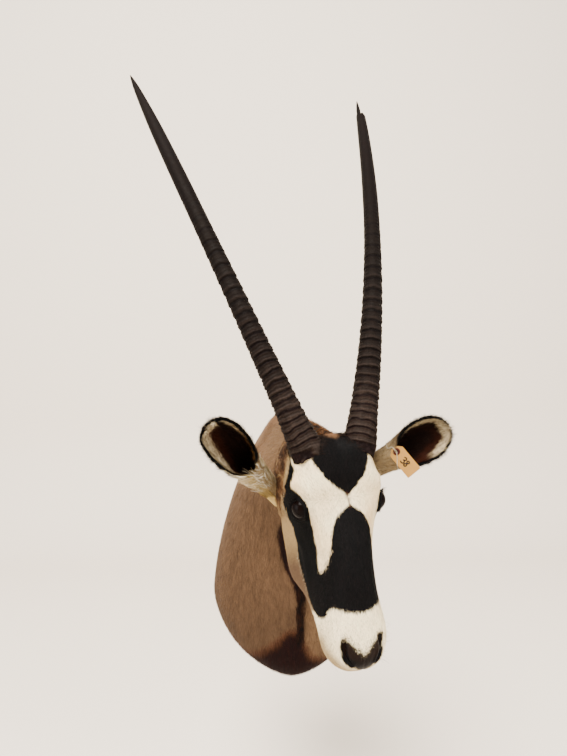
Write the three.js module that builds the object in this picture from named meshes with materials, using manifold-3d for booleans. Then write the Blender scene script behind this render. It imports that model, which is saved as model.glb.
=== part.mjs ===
// Shoulder mount of a gemsbok: hide over a form, two long ringed horns, ears, glass eyes,
// a back board with a keyhole hanger, and a card tag on a string round one ear.
// Millimetres, +Z up. The origin is the middle of the board's rear face, which lies on the
// wall plane Y = 0, and the animal looks out along -Y. Left and right are the animal's own:
// its left side is at +X.
import * as THREE from "three";
import { mergeVertices } from "three/addons/utils/BufferGeometryUtils.js";
import Module from "manifold-3d";

const wasm = await Module();
wasm.setup();

const fitGap = 0.3; // clearance left between pieces that touch
const boardThickness = 18;
const boardRim = 1.5; // how far the board stands out round the hide's edge
const boardSides = 48;

// The head has its own frame: L across the face towards the animal's left, A down the face
// towards the nose, N out of the face. Its origin is on the forehead between the horns.
const headOrigin = new THREE.Vector3(72, -455, 215);
const headYaw = THREE.MathUtils.degToRad(17);
const headPitch = THREE.MathUtils.degToRad(16);
const headTilt = THREE.MathUtils.degToRad(-1.3);
const headTurn = new THREE.Matrix4()
  .makeRotationZ(headYaw)
  .multiply(new THREE.Matrix4().makeRotationX(-headPitch))
  .multiply(new THREE.Matrix4().makeRotationY(headTilt));
const headFrame = new THREE.Matrix4()
  .makeTranslation(headOrigin.x, headOrigin.y, headOrigin.z)
  .multiply(headTurn);

// A point given as (L, A, N), in the part's frame.
function headPoint(l, a, n) {
  return new THREE.Vector3(l, -n, -a).applyMatrix4(headFrame);
}

function headDirection(l, a, n) {
  return headPoint(l, a, n).sub(headPoint(0, 0, 0)).normalize();
}

// ---------- shared shape helpers ----------

// Smooth value at x of a list of [x, value] pairs (Catmull-Rom through the points).
function smoothValue(pairs, x) {
  const last = pairs.length - 1;
  if (x <= pairs[0][0]) return pairs[0][1];
  if (x >= pairs[last][0]) return pairs[last][1];
  let i = 0;
  while (x > pairs[i + 1][0]) i += 1;
  const [x1, y1] = pairs[i];
  const [x2, y2] = pairs[i + 1];
  const [x0, y0] = pairs[Math.max(i - 1, 0)];
  const [x3, y3] = pairs[Math.min(i + 2, last)];
  const span = x2 - x1;
  const slope1 = i === 0 ? (y2 - y1) / span : (y2 - y0) / (x2 - x0);
  const slope2 = i + 1 === last ? (y2 - y1) / span : (y3 - y1) / (x3 - x1);
  const t = (x - x1) / span;
  const t2 = t * t;
  const t3 = t2 * t;
  return (2 * t3 - 3 * t2 + 1) * y1 + (t3 - 2 * t2 + t) * span * slope1
    + (3 * t2 - 2 * t3) * y2 + (t3 - t2) * span * slope2;
}

// Smooth value of one thing about a list of stations, at a place between them: 1.5 is half way
// from the second station to the third.
function between(stations, at, pick) {
  return smoothValue(stations.map((station, i) => [i, pick(station)]), at);
}

// A closed skin over rings of points. Each end has a fan from its middle, or, where the rings are
// an outer arc and its inner arc back, a strip between the two arcs.
function skin(rings, endsAreArcs = false) {
  const sides = rings[0].length;
  const points = rings.flat();
  const faces = [];
  for (let r = 0; r + 1 < rings.length; r += 1) {
    for (let s = 0; s < sides; s += 1) {
      const a = r * sides + s;
      const b = r * sides + ((s + 1) % sides);
      faces.push(a, b, b + sides, a, b + sides, a + sides);
    }
  }
  const lastStart = (rings.length - 1) * sides;
  for (const [ring, start, flip] of [[rings[0], 0, true], [rings.at(-1), lastStart, false]]) {
    const cap = endsAreArcs ? stripCap(sides) : fanCap(sides, points.length - start);
    if (!endsAreArcs) points.push(middleOf(ring));
    for (const [a, b, c] of cap) {
      const corners = [a + start, b + start, c + start];
      faces.push(...(flip ? corners.reverse() : corners));
    }
  }
  const geometry = new THREE.BufferGeometry().setFromPoints(points);
  geometry.setIndex(faces);
  return facingOut(geometry);
}

function middleOf(ring) {
  const middle = new THREE.Vector3();
  ring.forEach((p) => middle.add(p));
  return middle.divideScalar(ring.length);
}

function fanCap(sides, middle) {
  return Array.from({ length: sides }, (_, s) => [s, (s + 1) % sides, middle]);
}

function stripCap(sides) {
  const cap = [];
  for (let s = 0; s + 1 < sides / 2; s += 1) {
    const [outer, inner] = [s, sides - 1 - s];
    cap.push([outer, outer + 1, inner - 1], [outer, inner - 1, inner]);
  }
  return cap;
}

function circle(centre, across, up, radius, sides) {
  return Array.from({ length: sides }, (_, i) => {
    const angle = (2 * Math.PI * i) / sides;
    return centre.clone()
      .addScaledVector(across, radius * Math.cos(angle))
      .addScaledVector(up, radius * Math.sin(angle));
  });
}

// The same geometry with its faces turned so that it holds a positive volume.
function facingOut(geometry) {
  const p = geometry.getAttribute("position");
  const index = geometry.index.array;
  const [a, b, c] = [new THREE.Vector3(), new THREE.Vector3(), new THREE.Vector3()];
  let volume = 0;
  for (let i = 0; i < index.length; i += 3) {
    a.fromBufferAttribute(p, index[i]);
    b.fromBufferAttribute(p, index[i + 1]);
    c.fromBufferAttribute(p, index[i + 2]);
    volume += a.dot(b.cross(c));
  }
  if (volume < 0) geometry.setIndex([...index].reverse());
  return geometry;
}

function toSolid(geometry) {
  const bare = geometry.clone();
  bare.deleteAttribute("normal");
  bare.deleteAttribute("uv");
  const merged = mergeVertices(bare, 1e-3);
  return new wasm.Manifold(new wasm.Mesh({
    numProp: 3,
    vertProperties: merged.attributes.position.array,
    triVerts: new Uint32Array(merged.index.array),
  }));
}

function toGeometry(solid) {
  const mesh = solid.getMesh();
  const geometry = new THREE.BufferGeometry();
  geometry.setAttribute("position", new THREE.BufferAttribute(mesh.vertProperties, 3));
  geometry.setIndex(new THREE.BufferAttribute(mesh.triVerts, 1));
  return geometry;
}

// ---------- neck and shoulder ----------

// Each station is one slice through the neck, from the board to inside the head. top and bottom
// are the slice's ends on the middle line as [y, z], x its middle, and middle the height share of
// its widest point. The powers set how full the slice is above that point and below it.
const neckStations = [
  { top: [-18.3, 240], bottom: [-18.3, -240], x: -2, halfWidth: 148, middle: 0.3, powers: [1.5, 2.6] },
  { top: [-45, 243], bottom: [-62, -260], x: -2, halfWidth: 155, middle: 0.3, powers: [1.5, 2.2] },
  { top: [-100, 243], bottom: [-135, -273], x: -1, halfWidth: 152, middle: 0.32, powers: [1.5, 1.75] },
  { top: [-160, 240], bottom: [-188, -236], x: 5, halfWidth: 140, middle: 0.36, powers: [1.6, 1.7] },
  { top: [-215, 237], bottom: [-216, -142], x: 16, halfWidth: 124, middle: 0.39, powers: [1.65, 1.9] },
  { top: [-265, 234], bottom: [-236, -45], x: 28, halfWidth: 108, middle: 0.43, powers: [1.7, 2] },
  { top: [-312, 228], bottom: [-266, 35], x: 38, halfWidth: 90, middle: 0.47, powers: [1.75, 2] },
  { top: [-358, 216], bottom: [-306, 90], x: 46, halfWidth: 74, middle: 0.5, powers: [1.8, 2] },
  { top: [-392, 198], bottom: [-350, 118], x: 52, halfWidth: 56, middle: 0.5, powers: [1.9, 2] },
];
const neckSides = 28;
const neckSlicesPerStation = 2;

// One slice of the neck. The board's outline is the first slice, grown a little.
function neckRing(at, grow = 0, sides = neckSides) {
  const value = (pick) => between(neckStations, at, pick);
  const [topY, topZ] = [value((s) => s.top[0]), value((s) => s.top[1]) + grow];
  const [bottomY, bottomZ] = [value((s) => s.bottom[0]), value((s) => s.bottom[1]) - grow];
  const halfWidth = value((s) => s.halfWidth) + grow;
  const [x, middle] = [value((s) => s.x), value((s) => s.middle)];
  const ring = [];
  for (let i = 0; i < sides; i += 1) {
    const angle = (2 * Math.PI * i) / sides;
    const [c, s] = [Math.cos(angle), Math.sin(angle)];
    const power = value((station) => station.powers[s >= 0 ? 0 : 1]);
    const reach = Math.abs(s) ** (2 / power);
    const share = s >= 0 ? middle + (1 - middle) * reach : middle * (1 - reach);
    ring.push(new THREE.Vector3(
      x + Math.sign(c) * halfWidth * Math.abs(c) ** (2 / power),
      THREE.MathUtils.lerp(bottomY, topY, share),
      THREE.MathUtils.lerp(bottomZ, topZ, share),
    ));
  }
  return ring;
}

function neckSolid() {
  const rings = [];
  const steps = (neckStations.length - 1) * neckSlicesPerStation;
  for (let i = 0; i <= steps; i += 1) rings.push(neckRing(i / neckSlicesPerStation));
  return toSolid(skin(rings));
}

// ---------- head ----------

// Slices across the face, a being the slice's place on A. The rest are on L and N: the top and
// bottom on the middle line, then the edge of the face's flat, the cheek and the jaw as
// [half width, n].
const headStations = [
  { a: -42, top: -70, flat: [16, -73], cheek: [22, -80], jaw: [16, -96], bottom: -102 },
  { a: -35, top: -50, flat: [27, -56], cheek: [39, -74], jaw: [30, -112], bottom: -124 },
  { a: -20, top: -24, flat: [34, -30], cheek: [54, -60], jaw: [43, -132], bottom: -146 },
  { a: 4, top: -2, flat: [40, -7], cheek: [63, -52], jaw: [50, -142], bottom: -164 },
  { a: 38, top: 4, flat: [46, -4], cheek: [69, -48], jaw: [51, -148], bottom: -172 },
  { a: 62, top: 4, flat: [50, -4], cheek: [73, -40], jaw: [50, -150], bottom: -175 },
  { a: 82, top: 4, flat: [44, -6], cheek: [71, -42], jaw: [50, -148], bottom: -174 },
  { a: 108, top: 3, flat: [34, -6], cheek: [60, -54], jaw: [54, -142], bottom: -168 },
  { a: 145, top: 1, flat: [26, -6], cheek: [50, -72], jaw: [53, -130], bottom: -156 },
  { a: 185, top: -3, flat: [25, -10], cheek: [47, -70], jaw: [48, -112], bottom: -132 },
  { a: 215, top: -8, flat: [28, -16], cheek: [46, -58], jaw: [44, -94], bottom: -110 },
  { a: 240, top: -11, flat: [33, -20], cheek: [47, -50], jaw: [40, -85], bottom: -99 },
  { a: 262, top: -14, flat: [34, -24], cheek: [46, -48], jaw: [38, -81], bottom: -94 },
  { a: 280, top: -18, flat: [30, -28], cheek: [41, -50], jaw: [34, -77], bottom: -89 },
  { a: 294, top: -24, flat: [24, -32], cheek: [32, -50], jaw: [27, -71], bottom: -81 },
  { a: 302, top: -34, flat: [13, -40], cheek: [17, -50], jaw: [14, -61], bottom: -67 },
];
const headSides = 24;
const headSlicesPerStation = 2;

function headRing(at) {
  const value = (pick) => between(headStations, at, pick);
  const a = value((s) => s.a);
  const half = ["flat", "cheek", "jaw"].map((name) => [value((s) => s[name][0]), value((s) => s[name][1])]);
  const outline = new THREE.CatmullRomCurve3([
    headPoint(0, a, value((s) => s.top)),
    ...half.map(([l, n]) => headPoint(l, a, n)),
    headPoint(0, a, value((s) => s.bottom)),
    ...half.toReversed().map(([l, n]) => headPoint(-l, a, n)),
  ], true, "centripetal");
  return outline.getPoints(headSides).slice(0, headSides);
}

function headSolid() {
  const rings = [];
  const steps = (headStations.length - 1) * headSlicesPerStation;
  for (let i = 0; i <= steps; i += 1) rings.push(headRing(i / headSlicesPerStation));
  return toSolid(skin(rings));
}

// ---------- horns ----------

const hornRoot = { l: 41.5, a: 1, n: -26 };
const hornReach = 824; // straight distance from root to tip
const hornSplay = THREE.MathUtils.degToRad(14.2); // outwards from the face's middle plane
const hornSweep = THREE.MathUtils.degToRad(11.9); // backwards from the plane of the face
const hornBow = { forward: 34, out: 11.5, early: 0.25 }; // how far its middle stands off a straight line
const hornSunk = 14; // length of horn inside the hide
const hornSides = 10;
const ringZone = 0.63; // share of the horn that carries rings
const ringCount = 25;
const ringHeight = 1.6; // how far the lowest ring stands out
const ringRise = 0.72; // share of the way from one ring to the next where its slope starts

// side is 1 for the animal's left and -1 for its right; radii are [share of length, radius].
// The left horn's sheath is broken back near its tip, and a narrower cone stands out of it.
const horns = {
  1: {
    radii: [
      [0, 24.4], [0.07, 20.4], [0.17, 18], [0.3, 16], [0.47, 14.4], [0.62, 13.9],
      [0.73, 12.9], [0.86, 11.2], [0.935, 9], [0.955, 5.6], [0.98, 3.6], [1, 0.9],
    ],
  },
  "-1": {
    radii: [
      [0, 23.8], [0.07, 19.6], [0.17, 17.2], [0.3, 15.3], [0.47, 14], [0.62, 13.4],
      [0.73, 12.4], [0.82, 10.7], [0.94, 6.2], [0.98, 3.2], [1, 0.8],
    ],
  },
};

function hornPoint(side, t) {
  const bow = 4 * t * (1 - t) * (1 + hornBow.early * (1 - 2 * t));
  const out = Math.sin(hornSplay) * hornReach * t + hornBow.out * bow;
  const along = Math.cos(hornSplay) * hornReach * t;
  return headPoint(
    side * (hornRoot.l + out),
    hornRoot.a - along * Math.cos(hornSweep),
    hornRoot.n - along * Math.sin(hornSweep) + hornBow.forward * bow,
  );
}

// Place of ring number k along the horn: close together at the root and wider apart above.
function ringPlace(k) {
  return ringZone * (0.62 * (k / ringCount) + 0.38 * (k / ringCount) ** 2);
}

// Where slices are taken along the horn, as [share of length, height of the ring there].
function hornStops() {
  const stops = [[-hornSunk / hornReach, 0], [0, 0]];
  for (let k = 1; k <= ringCount; k += 1) {
    const [here, before] = [ringPlace(k), ringPlace(k - 1)];
    stops.push([THREE.MathUtils.lerp(before, here, ringRise), 0]);
    stops.push([here, ringHeight * (1 - here / (1.3 * ringZone))]);
  }
  for (let t = ringZone + 0.04; t < 0.94; t += 0.05) stops.push([t, 0]);
  return [...stops, [0.945, 0], [0.958, 0], [0.98, 0], [1, 0]];
}

function hornRings(side, grow = 0) {
  return hornStops().map(([t, swell]) => {
    const centre = hornPoint(side, t);
    const along = hornPoint(side, t + 0.001).sub(hornPoint(side, t - 0.001)).normalize();
    const across = new THREE.Vector3().crossVectors(along, headDirection(0, 0, 1)).normalize();
    const up = new THREE.Vector3().crossVectors(across, along);
    const radius = smoothValue(horns[side].radii, Math.max(t, 0)) + swell + grow;
    return circle(centre, across, up, radius, hornSides);
  });
}

// ---------- ears ----------

// An ear is a leaf rolled into a cup. root and tip are the ends of its middle line in the head's
// frame, for the animal's left as [l, a, n], and mouth is the way that the cup opens.
const ears = {
  1: { root: [58, 37, -102], tip: [192, -16, -10], mouth: [-0.3, 0.25, 0.92] },
  "-1": { root: [58, 50, -101], tip: [188, -44, -8], mouth: [0.3, 0.25, 0.92] },
};
const earThickness = 4;
const earArcSteps = 12;
const earHalfWidth = [[0, 16], [0.3, 18], [0.46, 22], [0.58, 30], [0.7, 33], [0.82, 30], [0.93, 20], [1, 7]];
// Half angle of the rolled arc in degrees: nearly closed at the root and open towards the tip.
const earRoll = [[0, 170], [0.42, 166], [0.5, 132], [0.6, 100], [0.75, 80], [1, 62]];
const earSetBack = 0.45; // share of the radius that the arc's centre stands in front of the middle line
const earArcShare = 0.985; // how far the inner arc reaches round, as a share of the outer one
const earSocketSlices = [-0.02, 0.12, 0.26, 0.4];
const earSocketSides = 14;
const earSocketGap = 1.2;
const earSlices = [0, 0.14, 0.28, 0.4, 0.46, 0.53, 0.62, 0.72, 0.82, 0.9, 0.96, 1];

function earBasis(side) {
  const ear = ears[side];
  const root = headPoint(side * ear.root[0], ear.root[1], ear.root[2]);
  const tip = headPoint(side * ear.tip[0], ear.tip[1], ear.tip[2]);
  const mouth = headDirection(side * ear.mouth[0], ear.mouth[1], ear.mouth[2]);
  const along = tip.clone().sub(root);
  const length = along.length();
  along.normalize();
  mouth.addScaledVector(along, -mouth.dot(along)).normalize();
  const across = new THREE.Vector3().crossVectors(along, mouth);
  return { root, along, mouth, across, length };
}

function earRadius(t) {
  const half = THREE.MathUtils.degToRad(smoothValue(earRoll, t));
  return smoothValue(earHalfWidth, t) / (half > Math.PI / 2 ? 1 : Math.sin(half));
}

// A point at share t of the ear's length, at an angle round the arc from the ear's back, and r
// from the arc's centre.
function earPoint(side, t, angle, r) {
  const { root, along, mouth, across, length } = earBasis(side);
  return root.clone()
    .addScaledVector(along, t * length)
    .addScaledVector(across, r * Math.sin(angle))
    .addScaledVector(mouth, earRadius(t) * earSetBack - r * Math.cos(angle));
}

// One slice of the ear at share t: outer arc one way, inner arc back.
function earRing(side, t) {
  const half = THREE.MathUtils.degToRad(smoothValue(earRoll, t));
  const radius = earRadius(t);
  const inner = Math.max(radius - earThickness, 0.3 * radius);
  const ring = [];
  for (let i = 0; i <= earArcSteps; i += 1) {
    ring.push(earPoint(side, t, THREE.MathUtils.lerp(-half, half, i / earArcSteps), radius));
  }
  for (let i = earArcSteps; i >= 0; i -= 1) {
    ring.push(earPoint(side, t, earArcShare * THREE.MathUtils.lerp(-half, half, i / earArcSteps), inner));
  }
  return ring;
}

function earGeometry(side) {
  return skin(earSlices.map((t) => earRing(side, t)), true);
}

// The socket that the hide leaves for the root of an ear.
function earSocket(side) {
  const { mouth, across } = earBasis(side);
  const rings = earSocketSlices.map((t) => {
    const centre = earPoint(side, t, 0, 0);
    return circle(centre, across, mouth, earRadius(Math.max(t, 0)) + earSocketGap, earSocketSides);
  });
  return toSolid(skin(rings));
}

// ---------- eyes ----------

const eye = { l: 56, a: 81, n: -35, radius: 17 };

function eyeGeometry(side, grow = 0) {
  const centre = headPoint(side * eye.l, eye.a, eye.n);
  return new THREE.IcosahedronGeometry(eye.radius + grow, 2).translate(centre.x, centre.y, centre.z);
}

// ---------- back board and hanger ----------

const hanger = { z: 120, width: 24, height: 66, thickness: 2, corner: 3.7, pocketDepth: 5 };
const keyhole = { headRadius: 6, headDrop: 7, slotRadius: 2.2, slotRise: 12 };
const nailRoom = { width: 16, height: 34, corner: 7.9, rise: 2, depth: 13 };
const screwHead = { radius: 4.2, rim: 3.6, rimHeight: 1.1, height: 1.7, fromMiddle: 26 };

function extrudeIntoBoard(shape, fromY, depth) {
  const geometry = new THREE.ExtrudeGeometry(shape, { depth, bevelEnabled: false, curveSegments: 6 });
  geometry.rotateX(Math.PI / 2); // the shape's plane becomes XZ, and its depth runs along -Y
  geometry.translate(0, fromY, 0);
  return facingOut(mergeVertices(stripped(geometry), 1e-4));
}

function stripped(geometry) {
  geometry.deleteAttribute("normal");
  geometry.deleteAttribute("uv");
  return geometry;
}

function roundedPlate(width, height, radius, z) {
  const shape = new THREE.Shape();
  const [x, y] = [-width / 2, z - height / 2];
  shape.moveTo(x + radius, y);
  shape.lineTo(x + width - radius, y);
  shape.absarc(x + width - radius, y + radius, radius, -Math.PI / 2, 0);
  shape.lineTo(x + width, y + height - radius);
  shape.absarc(x + width - radius, y + height - radius, radius, 0, Math.PI / 2);
  shape.lineTo(x + radius, y + height);
  shape.absarc(x + radius, y + height - radius, radius, Math.PI / 2, Math.PI);
  shape.lineTo(x, y + radius);
  shape.absarc(x + radius, y + radius, radius, Math.PI, 1.5 * Math.PI);
  return shape;
}

function boardSolid() {
  const outline = neckRing(0, boardRim, boardSides).map((p) => new THREE.Vector2(p.x, p.z));
  const { width, height, corner, z, pocketDepth } = hanger;
  const pocket = roundedPlate(width + 2 * fitGap, height + 2 * fitGap, corner + fitGap, z);
  const room = roundedPlate(nailRoom.width, nailRoom.height, nailRoom.corner, z + nailRoom.rise);
  const cutStart = 1; // the cuts start this far behind the board's rear face
  return toSolid(extrudeIntoBoard(new THREE.Shape(outline), 0, boardThickness))
    .subtract(toSolid(extrudeIntoBoard(pocket, cutStart, pocketDepth + cutStart)))
    .subtract(toSolid(extrudeIntoBoard(room, cutStart, nailRoom.depth + cutStart)));
}

function hangerPlate() {
  const { headRadius, headDrop, slotRadius, slotRise } = keyhole;
  const shape = roundedPlate(hanger.width, hanger.height, hanger.corner, hanger.z);
  const hole = new THREE.Path();
  hole.absarc(0, hanger.z - headDrop, headRadius, -1.25 * Math.PI, 0.25 * Math.PI, false);
  hole.lineTo(slotRadius, hanger.z + slotRise);
  hole.absarc(0, hanger.z + slotRise, slotRadius, 0, Math.PI, false);
  shape.holes.push(hole);
  const plateFront = -(hanger.pocketDepth - fitGap - hanger.thickness);
  return extrudeIntoBoard(shape, plateFront, hanger.thickness);
}

function hangerScrew(z) {
  const { radius, rim, rimHeight, height } = screwHead;
  const outline = [[0, 0], [radius, 0], [rim, rimHeight], [0, height]];
  const head = new THREE.LatheGeometry(outline.map(([r, y]) => new THREE.Vector2(r, y)), 16);
  head.translate(0, -(hanger.pocketDepth - 2 * fitGap - hanger.thickness), z);
  return facingOut(mergeVertices(stripped(head), 1e-4));
}

// ---------- tag ----------

const tag = { width: 24, height: 48, thickness: 0.8, corner: 7, holeRadius: 2.4 };
const patch = { radius: 5.6, thickness: 0.5 };
const tagHole = { l: 103, a: 14.5, n: -30 }; // the middle of its hole, in the head's frame
const tagDown = new THREE.Vector3(0.58, -0.3, -0.76).normalize(); // the way that the card hangs
const tagFacing = new THREE.Vector3(-0.3, -0.95, 0.1);
const string = { radius: 0.6, slack: 2, place: 0.43, strandGap: 0.9, sides: 8, steps: 60 };

// The tag's own frame: X across the card, Z up it, -Y out of its face, and the hole at its origin.
function tagFrame() {
  const up = tagDown.clone().negate();
  const back = tagFacing.clone().addScaledVector(up, -tagFacing.dot(up)).normalize().negate();
  const across = new THREE.Vector3().crossVectors(back, up);
  return new THREE.Matrix4().makeBasis(across, back, up)
    .setPosition(headPoint(tagHole.l, tagHole.a, tagHole.n));
}

function tagCard() {
  const { width, height, corner } = tag;
  const outline = new THREE.Shape([
    new THREE.Vector2(-width / 2, corner - height), new THREE.Vector2(width / 2, corner - height),
    new THREE.Vector2(width / 2, 0), new THREE.Vector2(width / 2 - corner, corner),
    new THREE.Vector2(corner - width / 2, corner), new THREE.Vector2(-width / 2, 0),
  ]);
  outline.holes.push(new THREE.Path().absarc(0, 0, tag.holeRadius, 0, 2 * Math.PI, true));
  return facingOut(extrudeIntoBoard(outline, 0, tag.thickness).applyMatrix4(tagFrame()));
}

function tagPatch() {
  const ring = new THREE.Shape().absarc(0, 0, patch.radius, 0, 2 * Math.PI, false);
  ring.holes.push(new THREE.Path().absarc(0, 0, tag.holeRadius, 0, 2 * Math.PI, true));
  const front = -tag.thickness - fitGap;
  return facingOut(extrudeIntoBoard(ring, front, patch.thickness).applyMatrix4(tagFrame()));
}

// The string comes out of the hole, goes over the ear, round behind it, and back to the hole.
function stringRoute() {
  const frame = tagFrame();
  const inTag = (x, y, z) => new THREE.Vector3(x, y, z).applyMatrix4(frame);
  const radius = earRadius(string.place) + string.slack;
  const gap = string.strandGap;
  const points = [inTag(0, 3, gap), inTag(0, 0, gap), inTag(0, -2.8, 1.5)];
  points.push(inTag(-0.4, -2.6, 5), inTag(-0.6, -1, 9));
  for (let degrees = -130; degrees <= 100; degrees += 23) {
    points.push(earPoint(1, string.place, THREE.MathUtils.degToRad(degrees), radius));
  }
  points.push(inTag(-14.5, 1, -19), inTag(-12.5, -2.4, -16.5), inTag(-6, -2.8, -9));
  points.push(inTag(-0.6, -2.8, -1.6), inTag(0, 0, -gap), inTag(0, 3, -gap));
  return new THREE.CatmullRomCurve3(points, false, "centripetal");
}

function tagString() {
  const section = new THREE.Shape();
  for (let i = 0; i < string.sides; i += 1) {
    const angle = (2 * Math.PI * i) / string.sides;
    section[i ? "lineTo" : "moveTo"](string.radius * Math.cos(angle), string.radius * Math.sin(angle));
  }
  const geometry = new THREE.ExtrudeGeometry(section, {
    steps: string.steps, extrudePath: stringRoute(), bevelEnabled: false,
  });
  return facingOut(mergeVertices(stripped(geometry), 1e-4));
}

// ---------- assembly ----------

// Colour, roughness and metalness of each look.
const colours = {
  hide: [0x9a7257, 0.85, 0],
  horn: [0x3a302b, 0.5, 0],
  ear: [0x6d5a4c, 0.85, 0],
  eye: [0x120c0a, 0.08, 0],
  board: [0x1d1a18, 0.8, 0],
  steel: [0xa9a9a6, 0.35, 1],
  card: [0xd2ad7c, 0.8, 0],
  patch: [0x7a3a2c, 0.8, 0],
  string: [0xd9d2c2, 0.9, 0],
};

function piece(name, geometry, look) {
  const [color, roughness, metalness] = colours[look];
  const material = new THREE.MeshStandardMaterial({ color, roughness, metalness, flatShading: true });
  const mesh = new THREE.Mesh(geometry, material);
  mesh.name = name;
  return mesh;
}

const mount = new THREE.Group();
let hide = neckSolid().add(headSolid());
for (const side of [1, -1]) {
  hide = hide.subtract(toSolid(skin(hornRings(side, fitGap))));
  hide = hide.subtract(toSolid(eyeGeometry(side, fitGap)));
  hide = hide.subtract(earSocket(side));
}
mount.add(piece("hide", toGeometry(hide), "hide"));
for (const [side, name] of [[1, "left"], [-1, "right"]]) {
  mount.add(piece(`horn_${name}`, skin(hornRings(side)), "horn"));
  mount.add(piece(`ear_${name}`, earGeometry(side), "ear"));
  mount.add(piece(`eye_${name}`, eyeGeometry(side), "eye"));
}
mount.add(piece("back_board", toGeometry(boardSolid()), "board"));
mount.add(piece("hanger_plate", hangerPlate(), "steel"));
mount.add(piece("hanger_screw_top", hangerScrew(hanger.z + screwHead.fromMiddle), "steel"));
mount.add(piece("hanger_screw_bottom", hangerScrew(hanger.z - screwHead.fromMiddle), "steel"));
mount.add(piece("tag_card", tagCard(), "card"));
mount.add(piece("tag_patch", tagPatch(), "patch"));
mount.add(piece("tag_string", tagString(), "string"));

export default mount;
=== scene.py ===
from math import radians, pi
import bmesh
import bpy
import numpy as np
from mathutils import Matrix, Vector


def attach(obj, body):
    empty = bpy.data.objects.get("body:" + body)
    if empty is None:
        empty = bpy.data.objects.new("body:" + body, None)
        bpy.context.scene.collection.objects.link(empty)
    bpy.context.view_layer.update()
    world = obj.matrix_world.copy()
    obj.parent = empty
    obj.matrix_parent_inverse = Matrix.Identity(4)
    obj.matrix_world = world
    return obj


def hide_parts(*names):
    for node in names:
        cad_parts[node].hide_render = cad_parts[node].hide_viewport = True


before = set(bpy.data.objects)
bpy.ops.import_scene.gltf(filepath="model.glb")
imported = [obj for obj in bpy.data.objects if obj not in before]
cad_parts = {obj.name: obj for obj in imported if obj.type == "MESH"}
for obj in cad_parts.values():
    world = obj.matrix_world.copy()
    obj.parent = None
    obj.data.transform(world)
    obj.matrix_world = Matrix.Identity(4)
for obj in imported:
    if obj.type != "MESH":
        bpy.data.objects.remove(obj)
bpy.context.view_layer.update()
scene = bpy.context.scene

# places and small tools

# The head's own directions: L across the face to the animal's left, A down the face, N out of it.
head = {
    "origin": (72, -455, 215),  # mm, on the forehead between the horns
    "yaw": 17, "pitch": 16, "tilt": -1.3,  # degrees
    "hornRoot": (41.5, 1, -26),
}
turn = np.array(
    Matrix.Rotation(radians(head["yaw"]), 3, "Z")
    @ Matrix.Rotation(radians(-head["pitch"]), 3, "X")
    @ Matrix.Rotation(radians(head["tilt"]), 3, "Y")
)
headOrigin = np.array(head["origin"], float)


def fromHead(lan):  # mm as L, A, N to metres in the part's frame
    lan = np.asarray(lan, float)
    local = np.stack([lan[..., 0], -lan[..., 2], -lan[..., 1]], -1)
    return (local @ turn.T + headOrigin) / 1000


def toHead(points):
    local = (np.asarray(points, float) * 1000 - headOrigin) @ turn
    return np.stack([local[..., 0], -local[..., 2], -local[..., 1]], -1)


def headWay(lan):
    return unit(fromHead(lan) - fromHead((0, 0, 0)))


def unit(v):
    v = np.asarray(v, float)
    return v / np.maximum(np.linalg.norm(v, axis=-1, keepdims=True), 1e-12)


def smoothValue(pairs, x):  # Catmull-Rom through a list of (x, value)
    xs = np.array([p[0] for p in pairs], float)
    ys = np.array([p[1] for p in pairs], float)
    slopes = np.empty(len(xs))
    slopes[1:-1] = (ys[2:] - ys[:-2]) / (xs[2:] - xs[:-2])
    slopes[0] = (ys[1] - ys[0]) / (xs[1] - xs[0])
    slopes[-1] = (ys[-1] - ys[-2]) / (xs[-1] - xs[-2])
    x = np.clip(np.asarray(x, float), xs[0], xs[-1])
    i = np.clip(np.searchsorted(xs, x, side="right") - 1, 0, len(xs) - 2)
    span = xs[i + 1] - xs[i]
    t = (x - xs[i]) / span
    return (
        (2 * t**3 - 3 * t**2 + 1) * ys[i] + (t**3 - 2 * t**2 + t) * span * slopes[i]
        + (3 * t**2 - 2 * t**3) * ys[i + 1] + (t**3 - t**2) * span * slopes[i + 1]
    )


def smoothCurve(points, count, closed=False):  # centripetal Catmull-Rom through the points
    points = np.asarray(points, float)
    if closed:
        padded = np.vstack([points[-1], points, points[:2]])
        spans = len(points)
    else:
        ends = (2 * points[0] - points[1], 2 * points[-1] - points[-2])
        padded = np.vstack([ends[0], points, ends[1]])
        spans = len(points) - 1
    at = np.linspace(0, spans, count, endpoint=not closed)
    i = np.minimum(at.astype(int), spans - 1)
    t = (at - i)[:, None]
    p = [padded[i + k] for k in range(4)]
    d = [np.maximum(np.linalg.norm(p[k + 1] - p[k], axis=1) ** 0.5, 1e-6)[:, None] for k in range(3)]
    m1 = ((p[1] - p[0]) / d[0] - (p[2] - p[0]) / (d[0] + d[1]) + (p[2] - p[1]) / d[1]) * d[1]
    m2 = ((p[2] - p[1]) / d[1] - (p[3] - p[1]) / (d[1] + d[2]) + (p[3] - p[2]) / d[2]) * d[1]
    return (
        (2 * t**3 - 3 * t**2 + 1) * p[1] + (t**3 - 2 * t**2 + t) * m1
        + (3 * t**2 - 2 * t**3) * p[2] + (t**3 - t**2) * m2
    )


def straight(pairs, x):  # in straight lines through a list of (x, value)
    return np.interp(x, *np.array(pairs, float).T)


def fade(low, high, x):  # 0 below low, 1 above high
    t = np.clip((np.asarray(x, float) - low) / (high - low), 0, 1)
    return t * t * (3 - 2 * t)


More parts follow.
